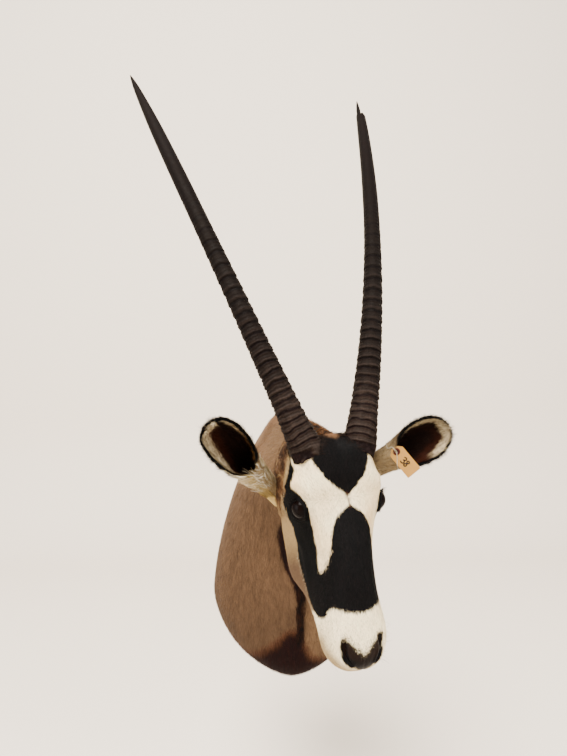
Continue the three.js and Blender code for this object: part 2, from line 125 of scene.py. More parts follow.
def noise(points, seed=0):  # smooth noise, 0 to 1, one cell to each unit
    base = np.floor(points).astype(np.int64)
    part = points - base
    part = part * part * (3 - 2 * part)
    total = np.zeros(len(points))
    for corner in np.ndindex(2, 2, 2):
        cell = base + np.array(corner)
        mixed = (cell[:, 0] * 73856093) ^ (cell[:, 1] * 19349663) ^ (cell[:, 2] * 83492791) ^ (seed * 2654435)
        mixed = ((mixed ^ (mixed >> 13)) * 1274126177) & 0x7FFFFFFF
        value = ((mixed ^ (mixed >> 16)) & 0xFFFF) / 65535
        total += value * np.prod(np.where(corner, part, 1 - part), axis=1)
    return total


def waves(points, scale, seed):  # three noises as a wandering direction
    return np.stack([noise(points * scale, seed + k) - 0.5 for k in range(3)], 1)


def paint(code):  # a hex colour as linear light
    c = np.array([int(code[i:i + 2], 16) for i in (0, 2, 4)]) / 255
    return np.where(c < 0.04045, c / 12.92, ((c + 0.055) / 1.055) ** 2.4)


def link(name, mesh):
    piece = bpy.data.objects.new(name, mesh)
    scene.collection.objects.link(piece)
    return piece


def meshOf(name, points, faces, smooth=True):
    mesh = bpy.data.meshes.new(name)
    mesh.from_pydata([tuple(p) for p in np.asarray(points, float)], [], [tuple(map(int, f)) for f in faces])
    mesh.polygons.foreach_set("use_smooth", np.full(len(mesh.polygons), smooth))
    mesh.update()
    return mesh


def loft(rings, closedAround=True, caps=True):  # points and faces of a skin over rings
    rings = np.asarray(rings, float)
    count, sides = rings.shape[:2]
    points = rings.reshape(-1, 3)
    r, s = np.meshgrid(np.arange(count - 1), np.arange(sides if closedAround else sides - 1), indexing="ij")
    a, b = (r * sides + s).ravel(), (r * sides + (s + 1) % sides).ravel()
    faces = np.stack([a, b, b + sides, a + sides], 1).tolist()
    if caps:
        around = np.arange(sides)
        points = np.vstack([points, rings[0].mean(0), rings[-1].mean(0)])
        last = (count - 1) * sides
        faces += [(k, n, len(points) - 2) for k, n in zip((around + 1) % sides, around)]
        faces += [(last + k, last + n, len(points) - 1) for k, n in zip(around, (around + 1) % sides)]
    return points, faces


def outwards(mesh, merge=True):
    build = bmesh.new()
    build.from_mesh(mesh)
    if merge:
        bmesh.ops.remove_doubles(build, verts=build.verts, dist=1e-7)
    bmesh.ops.recalc_face_normals(build, faces=build.faces)
    build.to_mesh(mesh)
    build.free()
    return mesh


def coordsOf(mesh):
    points = np.empty(len(mesh.vertices) * 3)
    mesh.vertices.foreach_get("co", points)
    return points.reshape(-1, 3)


def putCoords(mesh, points):
    mesh.vertices.foreach_set("co", np.ascontiguousarray(points, dtype=np.float32).ravel())
    mesh.update()


def normalsOf(mesh):
    normals = np.empty(len(mesh.vertices) * 3, dtype=np.float32)
    mesh.vertices.foreach_get("normal", normals)
    return normals.reshape(-1, 3).astype(float)


def store(mesh, name, values, kind="FLOAT"):
    values = np.asarray(values, dtype=np.float32)
    if kind == "FLOAT_COLOR":
        values = np.hstack([values, np.ones((len(values), 1), np.float32)])
    if name in mesh.attributes:
        mesh.attributes.remove(mesh.attributes[name])
    attribute = mesh.attributes.new(name, kind, "POINT")
    key = {"FLOAT": "value", "FLOAT_VECTOR": "vector", "FLOAT_COLOR": "color"}[kind]
    attribute.data.foreach_set(key, np.ascontiguousarray(values).ravel())


def finished(piece, slot, *nodes):
    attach(piece, "root")
    if nodes:
        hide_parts(*nodes)
    return piece


# camera

camera = {
    "place": (-0.006, -1.262, 0.310),
    "lens": 27.05,  # mm, on a 36 mm sensor
    "roll": -0.0195,  # radians
}
cameraData = bpy.data.cameras.new("camera")
cameraData.lens = camera["lens"]
cameraData.sensor_width = 36
cameraData.clip_start = 0.01
cameraObject = bpy.data.objects.new("camera", cameraData)
cameraObject.matrix_world = (
    Matrix.Translation(camera["place"])
    @ Matrix.Rotation(pi / 2, 4, "X") @ Matrix.Rotation(camera["roll"], 4, "Z")
)
scene.collection.objects.link(cameraObject)
scene.camera = cameraObject

# ear shape, which the string needs too

ears = {
    "left": {
        "side": 1, "root": (58, 37, -102), "tip": (187, -14, -10), "mouth": (-0.3, 0.25, 0.92),
        "halfWidth": [
            (0, 16), (0.3, 18), (0.46, 22), (0.58, 28), (0.7, 32), (0.8, 32), (0.88, 29), (0.94, 23.5),
            (0.98, 16), (1, 9),
        ],
    },
    "right": {
        "side": -1, "root": (76, 44, -113), "tip": (180.5, -40, -9), "mouth": (0.3, 0.25, 0.92),
        "halfWidth": [
            (0, 14), (0.15, 16), (0.3, 18), (0.46, 21.5), (0.58, 26), (0.7, 30), (0.8, 30), (0.88, 28),
            (0.94, 24.5), (0.98, 19), (1, 12),
        ],
    },
}
earShape = {
    # half angle of the rolled skin, degrees
    "roll": [(0, 179), (0.43, 179), (0.47, 164), (0.53, 132), (0.62, 100), (0.76, 80), (1, 62)],
    "setBack": 0.45,
    "thickness": 2.6,  # mm
    "arcSteps": 72, "sunk": 0.14,  # sunk is a share of the length, inside the head
}


def earBasis(name):
    ear = ears[name]
    flip = np.array([ear["side"], 1, 1])
    root, tip = fromHead(np.array(ear["root"]) * flip), fromHead(np.array(ear["tip"]) * flip)
    along = unit(tip - root)
    mouth = headWay(np.array(ear["mouth"]) * flip)
    mouth = unit(mouth - mouth @ along * along)
    return root, along, mouth, np.cross(along, mouth), np.linalg.norm(tip - root)


def earRadius(name, t):  # metres
    half = np.radians(smoothValue(earShape["roll"], t))
    return smoothValue(ears[name]["halfWidth"], t) / np.where(half > pi / 2, 1, np.sin(half)) / 1000


def earPoint(name, t, angle, radius):
    root, along, mouth, across, length = earBasis(name)
    t, angle, radius = [np.asarray(v, float)[..., None] for v in (t, angle, radius)]
    middle = earRadius(name, t[..., 0])[..., None] * earShape["setBack"]
    return (
        root + along * t * length + across * radius * np.sin(angle)
        + mouth * (middle - radius * np.cos(angle))
    )


# tag string

tag = {
    "width": 24, "height": 48, "thickness": 0.8, "corner": 7, "holeRadius": 2.4,  # mm
    "hole": (103, 14.5, -30), "down": (0.58, -0.3, -0.76), "facing": (-0.3, -0.95, 0.1),
    "curl": 1.1, "patchRadius": 5.6, "colour": "91692f", "patchColour": "35120b",
    "rows": 70, "columns": 41,
}
string = {
    "radius": 0.6, "slack": 2, "place": 0.43, "strandGap": 0.9,  # mm, and a share of the ear's length
    "plyRadius": 0.34, "plyOffset": 0.27, "twist": 3.1, "colour": "9c917a",  # twist is mm to a turn
}


def tagBasis():
    up = -unit(tag["down"])
    facing = np.array(tag["facing"])
    back = -unit(facing - facing @ up * up)
    return np.cross(back, up), back, up, fromHead(tag["hole"])


def inTag(points):  # mm on the card: across, behind its face, up
    across, back, up, hole = tagBasis()
    points = np.asarray(points, float) / 1000
    return hole + points[..., :1] * across + points[..., 1:2] * back + points[..., 2:3] * up


def stringPath():
    gap = string["strandGap"]
    degrees = np.arange(-130, 101, 23)
    radius = earRadius("left", string["place"]) + string["slack"] / 1000
    count = len(degrees)
    loop = earPoint("left", np.full(count, string["place"]), np.radians(degrees), np.full(count, radius))
    out = inTag([(0, 3, gap), (0, 0, gap), (0, -2.8, 1.5), (-0.4, -2.6, 5), (-0.6, -1, 9)])
    back = inTag([
        (-14.5, 1, -19), (-12.5, -2.4, -16.5), (-6, -2.8, -9), (-0.6, -2.8, -1.6), (0, 0, -gap), (0, 3, -gap),
    ])
    return np.vstack([out, loop, back])


def twistedTube(path, plies, offset, radius, turnLength, sides=6, tiltSteps=9):
    length = np.linalg.norm(np.diff(path, axis=0), axis=1)
    along = np.concatenate([[0], np.cumsum(length)])
    steps = int(along[-1] / turnLength * tiltSteps)
    at = np.linspace(0, along[-1], steps)
    centre = np.stack([np.interp(at, along, path[:, k]) for k in range(3)], 1)
    forward = unit(np.gradient(centre, axis=0))
    side = np.empty_like(centre)
    ahead = unit(np.cross(forward[0], (0.3, 0.2, 0.9)))
    for i, f in enumerate(forward):  # carried along without twisting
        ahead = unit(ahead - ahead @ f * f)
        side[i] = ahead
    over = np.cross(forward, side)
    points, faces = [], []
    angles = np.linspace(0, 2 * pi, sides, endpoint=False)
    for ply in range(plies):
        spin = 2 * pi * (at / turnLength + ply / plies)
        middle = centre + offset * (np.cos(spin)[:, None] * side + np.sin(spin)[:, None] * over)
        rings = middle[:, None] + radius * (
            np.cos(angles)[None, :, None] * side[:, None] + np.sin(angles)[None, :, None] * over[:, None]
        )
        more, moreFaces = loft(rings)
        start = sum(len(q) for q in points)
        points.append(more)
        faces += [[v + start for v in f] for f in moreFaces]
    return np.vstack(points), faces


stringRoute = smoothCurve(stringPath(), 400)
tagString = link("string", outwards(meshOf("string", *twistedTube(
    stringRoute, 2, string["plyOffset"] / 1000, string["plyRadius"] / 1000, string["twist"] / 1000,
))))
finished(tagString, "string", "tag_string")

# tools for node trees


def treeNode(tree, kind, inputs=None, **settings):
    made = tree.nodes.new(kind)
    for key, value in settings.items():
        setattr(made, key, value)
    for key, value in (inputs or {}).items():
        socket = made.inputs[key]
        if isinstance(value, bpy.types.NodeSocket):
            tree.links.new(value, socket)
        else:
            socket.default_value = value
    return made


def nodeOut(tree, kind, inputs=None, **settings):
    return treeNode(tree, kind, inputs, **settings).outputs[0]


def maths(tree, operation, a, b=None):
    return nodeOut(tree, "ShaderNodeMath", {0: a} if b is None else {0: a, 1: b}, operation=operation)


def times(tree, first, *others):
    for other in others:
        first = maths(tree, "MULTIPLY", first, other)
    return first


def combined(tree, x, y, z):
    return nodeOut(tree, "ShaderNodeCombineXYZ", {0: x, 1: y, 2: z})


def scaled(tree, vector, factor):  # a vector or a colour, times a value
    return nodeOut(tree, "ShaderNodeVectorMath", {0: vector, "Scale": factor}, operation="SCALE")


def noiseNode(tree, vector, scale, detail):
    return nodeOut(tree, "ShaderNodeTexNoise", {"Vector": vector, "Scale": scale, "Detail": detail})


def remapped(tree, value, low, high, fromLow=0.0, fromHigh=1.0):
    return nodeOut(tree, "ShaderNodeMapRange", {
        "Value": value, "From Min": fromLow, "From Max": fromHigh, "To Min": low, "To Max": high,
    })


def floatCurve(tree, factor, points):
    made = treeNode(tree, "ShaderNodeFloatCurve", {"Value": factor})
    curve = made.mapping.curves[0]
    while len(curve.points) < len(points):
        curve.points.new(0.5, 0.5)
    for point, (x, y) in zip(curve.points, points):
        point.location = (x, y)
    made.mapping.update()
    return made.outputs[0]


def position(tree):
    return nodeOut(tree, "GeometryNodeInputPosition")


def stored(tree, name, kind="FLOAT"):  # an attribute of the mesh
    return nodeOut(tree, "GeometryNodeInputNamedAttribute", {"Name": name}, data_type=kind)


def keptAs(tree, geometry, name, value, kind="FLOAT"):  # writes an attribute
    inputs = {"Geometry": geometry, "Name": name, "Value": value}
    return nodeOut(tree, "GeometryNodeStoreNamedAttribute", inputs, data_type=kind, domain="POINT")


def geometryTree(name, sizes):
    tree = bpy.data.node_groups.new(name, "GeometryNodeTree")
    tree.interface.new_socket("Geometry", in_out="INPUT", socket_type="NodeSocketGeometry")
    kinds = {float: "NodeSocketFloat", int: "NodeSocketInt"}
    for label, value in sizes.items():
        kind = kinds.get(type(value), "NodeSocketMaterial")
        socket = tree.interface.new_socket(label, in_out="INPUT", socket_type=kind)
        if kind != "NodeSocketMaterial":
            socket.default_value = value
    tree.interface.new_socket("Geometry", in_out="OUTPUT", socket_type="NodeSocketGeometry")
    return tree, tree.nodes.new("NodeGroupInput").outputs


def ended(tree, geometry, look):  # realized, with its material
    real = nodeOut(tree, "GeometryNodeRealizeInstances", {0: geometry})
    done = nodeOut(tree, "GeometryNodeSetMaterial", {"Geometry": real, "Material": look})
    tree.links.new(done, tree.nodes.new("NodeGroupOutput").inputs[0])
    return tree


def evaluated(piece):
    return bpy.data.meshes.new_from_object(piece.evaluated_get(bpy.context.evaluated_depsgraph_get()))


def grown(name, source, tree, values):  # the tree's result on source, as a plain mesh object
    holder = link(name + ".source", source)
    modifier = holder.modifiers.new("tree", "NODES")
    modifier.node_group = tree
    for item in tree.interface.items_tree:
        if item.in_out == "INPUT" and item.name in values:
            modifier[item.identifier] = values[item.name]
    holder.update_tag()
    mesh = evaluated(holder)
    holder.modifiers.clear()
    bpy.data.objects.remove(holder)
    mesh.name = name
    mesh.materials.clear()
    mesh.materials.append(values["Material"])
    mesh.polygons.foreach_set("material_index", np.zeros(len(mesh.polygons), np.int32))
    return link(name, mesh)


# materials


def material(name, **values):  # with plain values on the shader, by the first word of the socket
    made = bpy.data.materials.new(name)
    made.use_nodes = True
    tree = made.node_tree
    shader = tree.nodes["Principled BSDF"]
    labels = {
        "rough": "Roughness", "specular": "Specular IOR Level", "metal": "Metallic", "tint": "Specular Tint",
    }
    for key, value in values.items():
        shader.inputs[labels[key]].default_value = value
    return made, tree, shader


def grainGroup():  # fine noise as a value between Low and High
    tree = bpy.data.node_groups.new("grain", "ShaderNodeTree")
    tree.interface.new_socket("Vector", in_out="INPUT", socket_type="NodeSocketVector")
    for label, value in (("Scale", 200.0), ("Low", 0.8), ("High", 1.2)):
        tree.interface.new_socket(label, in_out="INPUT", socket_type="NodeSocketFloat").default_value = value
    tree.interface.new_socket("Value", in_out="OUTPUT", socket_type="NodeSocketFloat")
    inside = tree.nodes.new("NodeGroupInput").outputs
    speckle = noiseNode(tree, inside["Vector"], inside["Scale"], 4.0)
    value = remapped(tree, speckle, inside["Low"], inside["High"], 0.3, 0.7)
    tree.links.new(value, tree.nodes.new("NodeGroupOutput").inputs[0])
    return tree


grain = grainGroup()


def grainNode(tree, vector, scale, low, high):
    inputs = {"Vector": vector, "Scale": scale, "Low": low, "High": high}
    return nodeOut(tree, "ShaderNodeGroup", inputs, node_tree=grain)


def painted(tree, name, output="Fac"):  # an attribute of the piece, in its material
    return treeNode(tree, "ShaderNodeAttribute", attribute_name=name).outputs[output]


def flatColour(tree, code):
    base = tree.nodes.new("ShaderNodeRGB").outputs[0]
    base.default_value = (*paint(code), 1)
    return base


def objectPlace(tree, stretch=(1, 1, 1)):
    place = tree.nodes.new("ShaderNodeTexCoord").outputs["Object"]
    return nodeOut(tree, "ShaderNodeMapping", {"Vector": place, "Scale": stretch})


def bump(tree, shader, height, strength, distance):
    made = nodeOut(tree, "ShaderNodeBump", {"Height": height, "Strength": strength, "Distance": distance})
    tree.links.new(made, shader.inputs["Normal"])


def hairMaterial():
    made, tree, shader = material("hair", rough=0.55, specular=0.045)
    shade = remapped(tree, painted(tree, "along"), 0.6, 1.12)  # painted shade: darker at the roots, down among the hairs
    tree.links.new(scaled(tree, painted(tree, "coat", "Color"), shade), shader.inputs["Base Color"])
    return made


def skinMaterial():
    made, tree, shader = material("skin", specular=0.05)
    bare, place = painted(tree, "bare"), objectPlace(tree)
    colour = scaled(tree, painted(tree, "coat", "Color"), grainNode(tree, place, 420.0, 0.82, 1.15))
    tree.links.new(colour, shader.inputs["Base Color"])
    tree.links.new(remapped(tree, bare, 0.8, 0.42), shader.inputs["Roughness"])
    pebbles = nodeOut(tree, "ShaderNodeTexVoronoi", {"Vector": place, "Scale": 650.0})
    bump(tree, shader, times(tree, pebbles, bare), 0.5, 0.0006)
    return made


hairLook = hairMaterial()
skinLook = skinMaterial()

# hide

neck = {
    # y and z of the top, y and z of the bottom, x, half width, height share of the widest point,
    # and how full the slice is above and below it
    "stations": [
        (-18.3, 240, -18.3, -240, -2, 148, 0.3, 1.5, 2.6), (-45, 243, -62, -260, -2, 155, 0.3, 1.5, 2.2),
        (-100, 243, -135, -273, -1, 152, 0.32, 1.5, 1.75), (-160, 240, -188, -236, 5, 140, 0.36, 1.6, 1.7),
        (-215, 237, -216, -142, 16, 124, 0.39, 1.65, 1.9), (-265, 234, -236, -45, 28, 108, 0.43, 1.7, 2),
        (-312, 228, -266, 35, 38, 90, 0.47, 1.75, 2), (-358, 216, -306, 90, 46, 74, 0.5, 1.8, 2),
        (-392, 198, -350, 118, 52, 56, 0.5, 1.9, 2),
    ],
    "sides": 150, "slices": 12,
}
face = {
    # A, N of the top, L and N of the flat's edge, cheek and jaw, N of the bottom
    "stations": [
        (-42, -70, 16, -73, 22, -80, 16, -96, -102), (-35, -50, 27, -56, 39, -74, 30, -112, -124),
        (-20, -24, 34, -30, 54, -60, 43, -132, -146), (4, -2, 40, -7, 63, -52, 50, -142, -164),
        (38, 4, 46, -4, 69, -48, 51, -148, -172), (62, 4, 50, -4, 73, -40, 50, -150, -175),
        (82, 4, 44, -6, 71, -42, 50, -148, -174), (108, 3, 34, -6, 60, -54, 54, -142, -168),
        (145, 1, 26, -6, 50, -72, 53, -130, -156), (185, -3, 25, -10, 47, -70, 48, -112, -132),
        (215, -8, 28, -16, 46, -58, 44, -94, -110), (240, -11, 33, -20, 47, -50, 40, -85, -99),
        (262, -14, 34, -24, 46, -48, 38, -81, -94), (280, -18, 30, -28, 41, -50, 34, -77, -89),
        (294, -24, 24, -32, 32, -50, 27, -71, -81), (302, -34, 13, -40, 17, -50, 14, -61, -67),
    ],
    "sides": 144, "slices": 12,
}
hide = {
    "voxel": 0.0034, "furDepthHead": 1.2, "furDepthNeck": 2.6,  # metres, then mm
    "eye": (56.6, 81, -34.4), "eyeRadius": 15.8, "eyeFacing": (0.8, 0.0, 0.6),
    "eyeLong": 12.2, "eyeHigh": 8.8,  # half sizes of the opening
}


def between(stations, at):
    rows = np.array(stations, float)
    return np.stack([smoothValue(list(enumerate(rows[:, k])), at) for k in range(rows.shape[1])], -1)


def neckRings():
    last = len(neck["stations"]) - 1
    rows = between(neck["stations"], np.linspace(0, last, last * neck["slices"] + 1))
    angle = np.linspace(0, 2 * pi, neck["sides"], endpoint=False)
    c, s = np.cos(angle), np.sin(angle)
    rings = []
    for topY, topZ, bottomY, bottomZ, x, half, middle, above, below in rows:
        power = np.where(s >= 0, above, below)
        reach = np.abs(s) ** (2 / power)
        share = np.where(s >= 0, middle + (1 - middle) * reach, middle * (1 - reach))
        across = np.sign(c) * half * np.abs(c) ** (2 / power)
        rings.append(np.stack([
            x + across, bottomY + (topY - bottomY) * share, bottomZ + (topZ - bottomZ) * share,
        ], 1) / 1000)
    return np.array(rings)


def faceRings():
    last = len(face["stations"]) - 1
    rows = between(face["stations"], np.linspace(0, last, last * face["slices"] + 1))
    rings = []
    for a, top, flatL, flatN, cheekL, cheekN, jawL, jawN, bottom in rows:
        half = [(flatL, a, flatN), (cheekL, a, cheekN), (jawL, a, jawN)]
        outline = [(0, a, top), *half, (0, a, bottom), *[(-l, a, n) for l, a, n in half[::-1]]]
        rings.append(smoothCurve(fromHead(outline), face["sides"], closed=True))
    return np.array(rings)


def joinedSkin():
    points, faces = loft(neckRings())
    more, moreFaces = loft(faceRings())
    faces += [[v + len(points) for v in f] for f in moreFaces]
    shells = outwards(meshOf("roughHide", np.vstack([points, more]), faces), merge=False)
    rough = link("roughHide", shells)
    remesh = rough.modifiers.new("union", "REMESH")
    remesh.mode = "VOXEL"
    remesh.voxel_size = hide["voxel"]
    mesh = evaluated(rough)
    bpy.data.objects.remove(rough)
    mesh.name = "hide"
    return mesh


def relax(mesh, points, weight, rounds):
    ends = np.empty(len(mesh.edges) * 2, np.int32)
    mesh.edges.foreach_get("vertices", ends)
    a, b = ends[0::2], ends[1::2]
    count = len(points)
    degree = np.maximum(np.bincount(a, minlength=count) + np.bincount(b, minlength=count), 1)
    for _ in range(rounds):
        total = np.stack([
            np.bincount(a, points[b, k], count) + np.bincount(b, points[a, k], count) for k in range(3)
        ], 1)
        points = points + weight[:, None] * (total / degree[:, None] - points)
    return points


def refined(mesh, chosen):  # splits the edges whose two ends are chosen
    build = bmesh.new()
    build.from_mesh(mesh)
    build.verts.ensure_lookup_table()
    edges = [e for e in build.edges if chosen[e.verts[0].index] and chosen[e.verts[1].index]]
    bmesh.ops.subdivide_edges(build, edges=edges, cuts=1, use_grid_fill=True, smooth=0.0)
    build.to_mesh(mesh)
    build.free()
    mesh.update()
    return mesh


def mirrored(points):
    lan = toHead(points)
    side = np.sign(lan[:, 0])
    lan[:, 0] = np.abs(lan[:, 0])
    return lan, side


def eyeWays():  # out of the head, along the lids, and up towards the forehead
    out, long = unit(hide["eyeFacing"]), np.array([0.0, 1.0, 0.0])
    return out, long, np.cross(long, out)


def eyeSpread(lan):  # place round the eye: along the lids, across them, out of the head, and share
    away = lan - np.array(hide["eye"])
    out, long, high = eyeWays()
    u, v, w = away @ long, away @ high, away @ out
    return u, v, w, np.sqrt((u / hide["eyeLong"]) ** 2 + (v / hide["eyeHigh"]) ** 2)


# swellings and hollows of the face: middle (L, A, N), reach along each, height in mm
swellings = [
    ((67, 58, -28), (14, 13, 18), 3.0), ((69, 84, -64), (10, 15, 10), 2.2), ((50, 106, -34), (8, 14, 10), -2.6),
    ((57, 126, -66), (10, 26, 9), 3.0), ((50, 166, -72), (10, 26, 9), 2.2), ((42, 142, -38), (9, 36, 12), -3.0),
    ((57, 118, -122), (16, 40, 26), 2.5), ((52, 166, -120), (16, 34, 22), 7.0),
    ((50, 176, -110), (14, 26, 14), 3.0), ((40, 270, -50), (12, 16, 14), 2.6),
    ((0, 150, 0), (14, 60, 12), 1.6), ((62, 40, -100), (22, 38, 32), 8.0), ((0, 70, 5), (16, 18, 12), -1.2),
    ((34, 252, -26), (8, 10, 10), 1.6), ((0, 255, -14), (12, 16, 10), -1.2), ((20, 150, -4), (7, 60, 12), 1.0),
    ((10, -30, -50), (24, 20, 26), -7.0), ((30, -34, -74), (24, 24, 30), -17.0),
]
nostrilLine = [
    (23.0, 257, -17), (26.6, 262, -20), (28.4, 269, -22.5), (27.6, 276, -25), (24, 282.5, -26.5),
    (17, 289.5, -27),
]
mouthLine = [
    (0, 303, -50), (12, 300, -51), (22, 293, -52), (31, 281, -54), (36, 266, -57), (39, 248, -61),
    (41, 232, -66), (42, 222, -70),
]


def lineDistance(lan, line, count=60):  # distance to a line and the share along it
    path = smoothCurve(line, count)
    best = np.full(len(lan), 1e9)
    place = np.zeros(len(lan))
    for k, p in enumerate(path):
        d = np.linalg.norm(lan - p, axis=1)
        nearer = d < best
        best = np.where(nearer, d, best)
        place = np.where(nearer, k / (count - 1), place)
    return best, place


def lineGap(lan, line, near):  # the same at the chosen points, and far away at the others
    gap, place = np.full(len(lan), 99.0), np.zeros(len(lan))
    gap[near], place[near] = lineDistance(lan[near], line)
    return gap, place


padTop = [(0, 280), (3, 278.5), (9, 273), (16.5, 265), (22.4, 259), (28, 256)]
padBottom = [(0, 301), (10, 297), (18, 290.5), (24, 284), (28, 276), (30.5, 266)]


def noseBare(lan, low=-1.5, high=1.5):  # 1 on the bare skin of the nose, with a soft upper edge
    s, a = lan[:, 0], lan[:, 1]
    inPad = fade(low, high, a - smoothValue(padTop, s)) * fade(-1.5, 1.5, straight(padBottom, s) - a)
    return np.where((lan[:, 2] > -60) & (s < 31), inPad, 0)


def hump(distance, reach):
    return np.exp(-((distance / reach) ** 2))


def sculpt(mesh):
    points, normals = coordsOf(mesh), normalsOf(mesh)
    lan, _ = mirrored(points)
    height = np.zeros(len(points))
    for middle, reach, rise in swellings:
        height += rise * np.exp(-(((lan - np.array(middle)) / np.array(reach)) ** 2).sum(1))
    near = lan[:, 1] > 210
    gap, place = lineDistance(lan[near], nostrilLine)
    width = np.interp(place, [0, 0.15, 0.5, 1], [2.4, 4.2, 3.8, 1.4])
    height[near] -= np.interp(place, [0, 0.12, 1], [2, 6.5, 6.5]) * hump(gap, width)
    height[near] += np.interp(place, [0, 0.15, 1], [0, 1.4, 1.4]) * hump(gap - 2.2 * width, 1.3 * width)
    gap, place = lineDistance(lan[near], mouthLine)
    height[near] -= 3.2 * hump(gap, 1.7) * np.interp(place, [0, 0.9, 1], [1, 1, 0.2])
    height[near] += 0.9 * hump(gap - 4, 3)
    height -= 0.45 * hump(lan[:, 0], 1.6) * fade(284, 288, lan[:, 1])
    onHead = headShare(lan)
    height -= hide["furDepthHead"] * onHead + hide["furDepthNeck"] * (1 - onHead)
    points = points + normals * height[:, None] / 1000
    # the lids, as a distance from the middle of the ball
    lan, side = mirrored(points)
    _, v, w, q = eyeSpread(lan)
    middle = np.array(hide["eye"], float)
    away = lan - middle
    distance = np.linalg.norm(away, axis=1)
    lid = hide["eyeRadius"] + np.interp(q, [0, 0.86, 0.98, 1.1, 1.35, 1.7], [-2.8, -2.4, 0.6, 1.7, 2.1, 1.6])
    lid += np.where(v > 0, 0.8, 0.2) * hump(q - 1.22, 0.15) - 1.1 * hump(q - 1.55, 0.1)
    lid -= 0.7 * hump(q - 1.95, 0.1)
    keep = fade(1.7, 2.9, q)
    wanted = lid * (1 - keep) + distance * keep
    shaped = middle + away / distance[:, None] * wanted[:, None]
    use = (q < 2.9) & (w > 0) & (distance < 34)
    lan[use] = shaped[use]
    lan[:, 0] *= np.where(side == 0, 1, side)
    moved = fromHead(lan)
    points[use] = moved[use]
    putCoords(mesh, points)


def headShare(lan):  # 1 on the head and 0 on the neck
    neckward = 1 - fade(-185, -105, lan[:, 2])
    return (1 - neckward) * fade(-75, -30, lan[:, 1])


def makeSkin():
    mesh = joinedSkin()
    points = coordsOf(mesh)
    points = relax(mesh, points, np.full(len(points), 0.5), 3)
    lan = toHead(points)
    # softens the fold where the neck meets the head
    crown = hump(lan[:, 1] + 28, 30) * (1 - fade(-40, -15, lan[:, 2]))
    fold = np.maximum(crown, 1 - fade(-125, -90, lan[:, 2])) * (lan[:, 2] > -230)
    points = relax(mesh, points, 0.5 * np.clip(fold, 0, 1), 14)
    putCoords(mesh, points)
    for reach in (36, 27):
        lan, _ = mirrored(coordsOf(mesh))
        byEye = np.linalg.norm(lan - np.array(hide["eye"]), axis=1) < reach
        byNose = (lan[:, 1] > 222) & (lan[:, 2] > -115) & (reach > 30)
        mesh = refined(mesh, byEye | byNose)
    sculpt(mesh)
    mesh.polygons.foreach_set("use_smooth", np.full(len(mesh.polygons), True))
    mesh.update()
    return mesh


skinMesh = makeSkin()
print("skin", len(skinMesh.vertices), "points")

# coat

coat = {
    "tan": "56412f", "rufous": "60412a", "high": "6a523b", "lowTan": "483627", "cream": "8f7650",
    "white": "f6e4bb", "black": "080606", "stripe": "030202", "brisket": "150601", "mane": "150c07",
    "nose": "100704", "brown": "3c2013", "lip": "8e7650", "yellow": "d9b886", "dusky": "47342a",
    "mouth": "2a201c", "lids": "020101",
}
tones = {name: paint(code) for name, code in coat.items()}
# edges of the markings, mm: on the neck x or z and a height or half width, on the head A and N or half width
neckLine = [(-312, 38), (-265, 28), (-215, 16), (-160, 5), (-18, -2)]  # y, and x of the neck's middle
crestLine = [(-358, 46), (-265, 28), (-18, -2)]
brisketTop = [
    (-160, -168), (-118, -196), (-100, -206), (-74, -208), (-56, -200), (-30, -180), (-5, -158), (12, -156),
    (25, -181), (40, -203), (60, -218), (160, -226),
]
throatHalf = [
    (-210, 14), (-160, 8), (-146, 6), (-100, 5), (-76, 10), (-45, 23), (-28, 32), (0, 41), (44, 49), (90, 44),
]
foreheadHalf = [
    (-60, 34), (-20, 44), (8, 44), (25, 41), (35, 35.5), (48, 28.5), (56, 20), (64, 12.5), (70, 4), (73, 0.5),
]
blazeHalf = [
    (83, 0.5), (85.4, 4.5), (88, 8.8), (94, 16.5), (103, 23), (115, 27.5), (128, 29.5), (141, 31), (158, 34),
    (170, 38), (180, 46), (230, 60),
]
blazeEnd = [  # half width, and the A where it ends
    (0, 224.5), (10, 223.5), (22, 220), (30, 216.5), (35, 215), (38, 219), (41, 226), (45, 229), (60, 229),
]
stripeEnd = [(-90, 205), (-74, 214), (-64, 223), (-55, 228), (-42, 229), (0, 229)]  # N, and the last A
stripeFront = [
    (-20, -52), (0, -43), (15, -41), (30, -31), (45, -34), (55, -33), (62, -24), (73, -19), (86, -20),
    (101, -25), (114, -30), (126, -36), (143, -42), (156, -45), (167, -44), (172, -40), (178, -10),
]
stripeBack = [
    (-20, -58), (4, -46), (19, -44.5), (32, -47), (44, -53), (55, -60), (68, -60), (81, -58), (95, -62),
    (111, -66), (126, -77), (141, -87), (160, -88), (181, -84), (197, -79.5), (212, -74), (222, -64),
    (229, -55),
]
creamBack = [
    (-10, -48), (20, -53), (35, -60), (48, -68), (58, -96), (80, -106), (96, -118), (125, -150), (150, -190),
    (300, -200),
]


def over(base, colour, mask):
    return base + (np.asarray(colour) - base) * np.clip(mask, 0, 1)[:, None]


def edge(distance, soft):  # 1 inside, with a soft edge
    return fade(-soft, soft, distance)


def neckMiddle(y):
    return straight(neckLine, y)


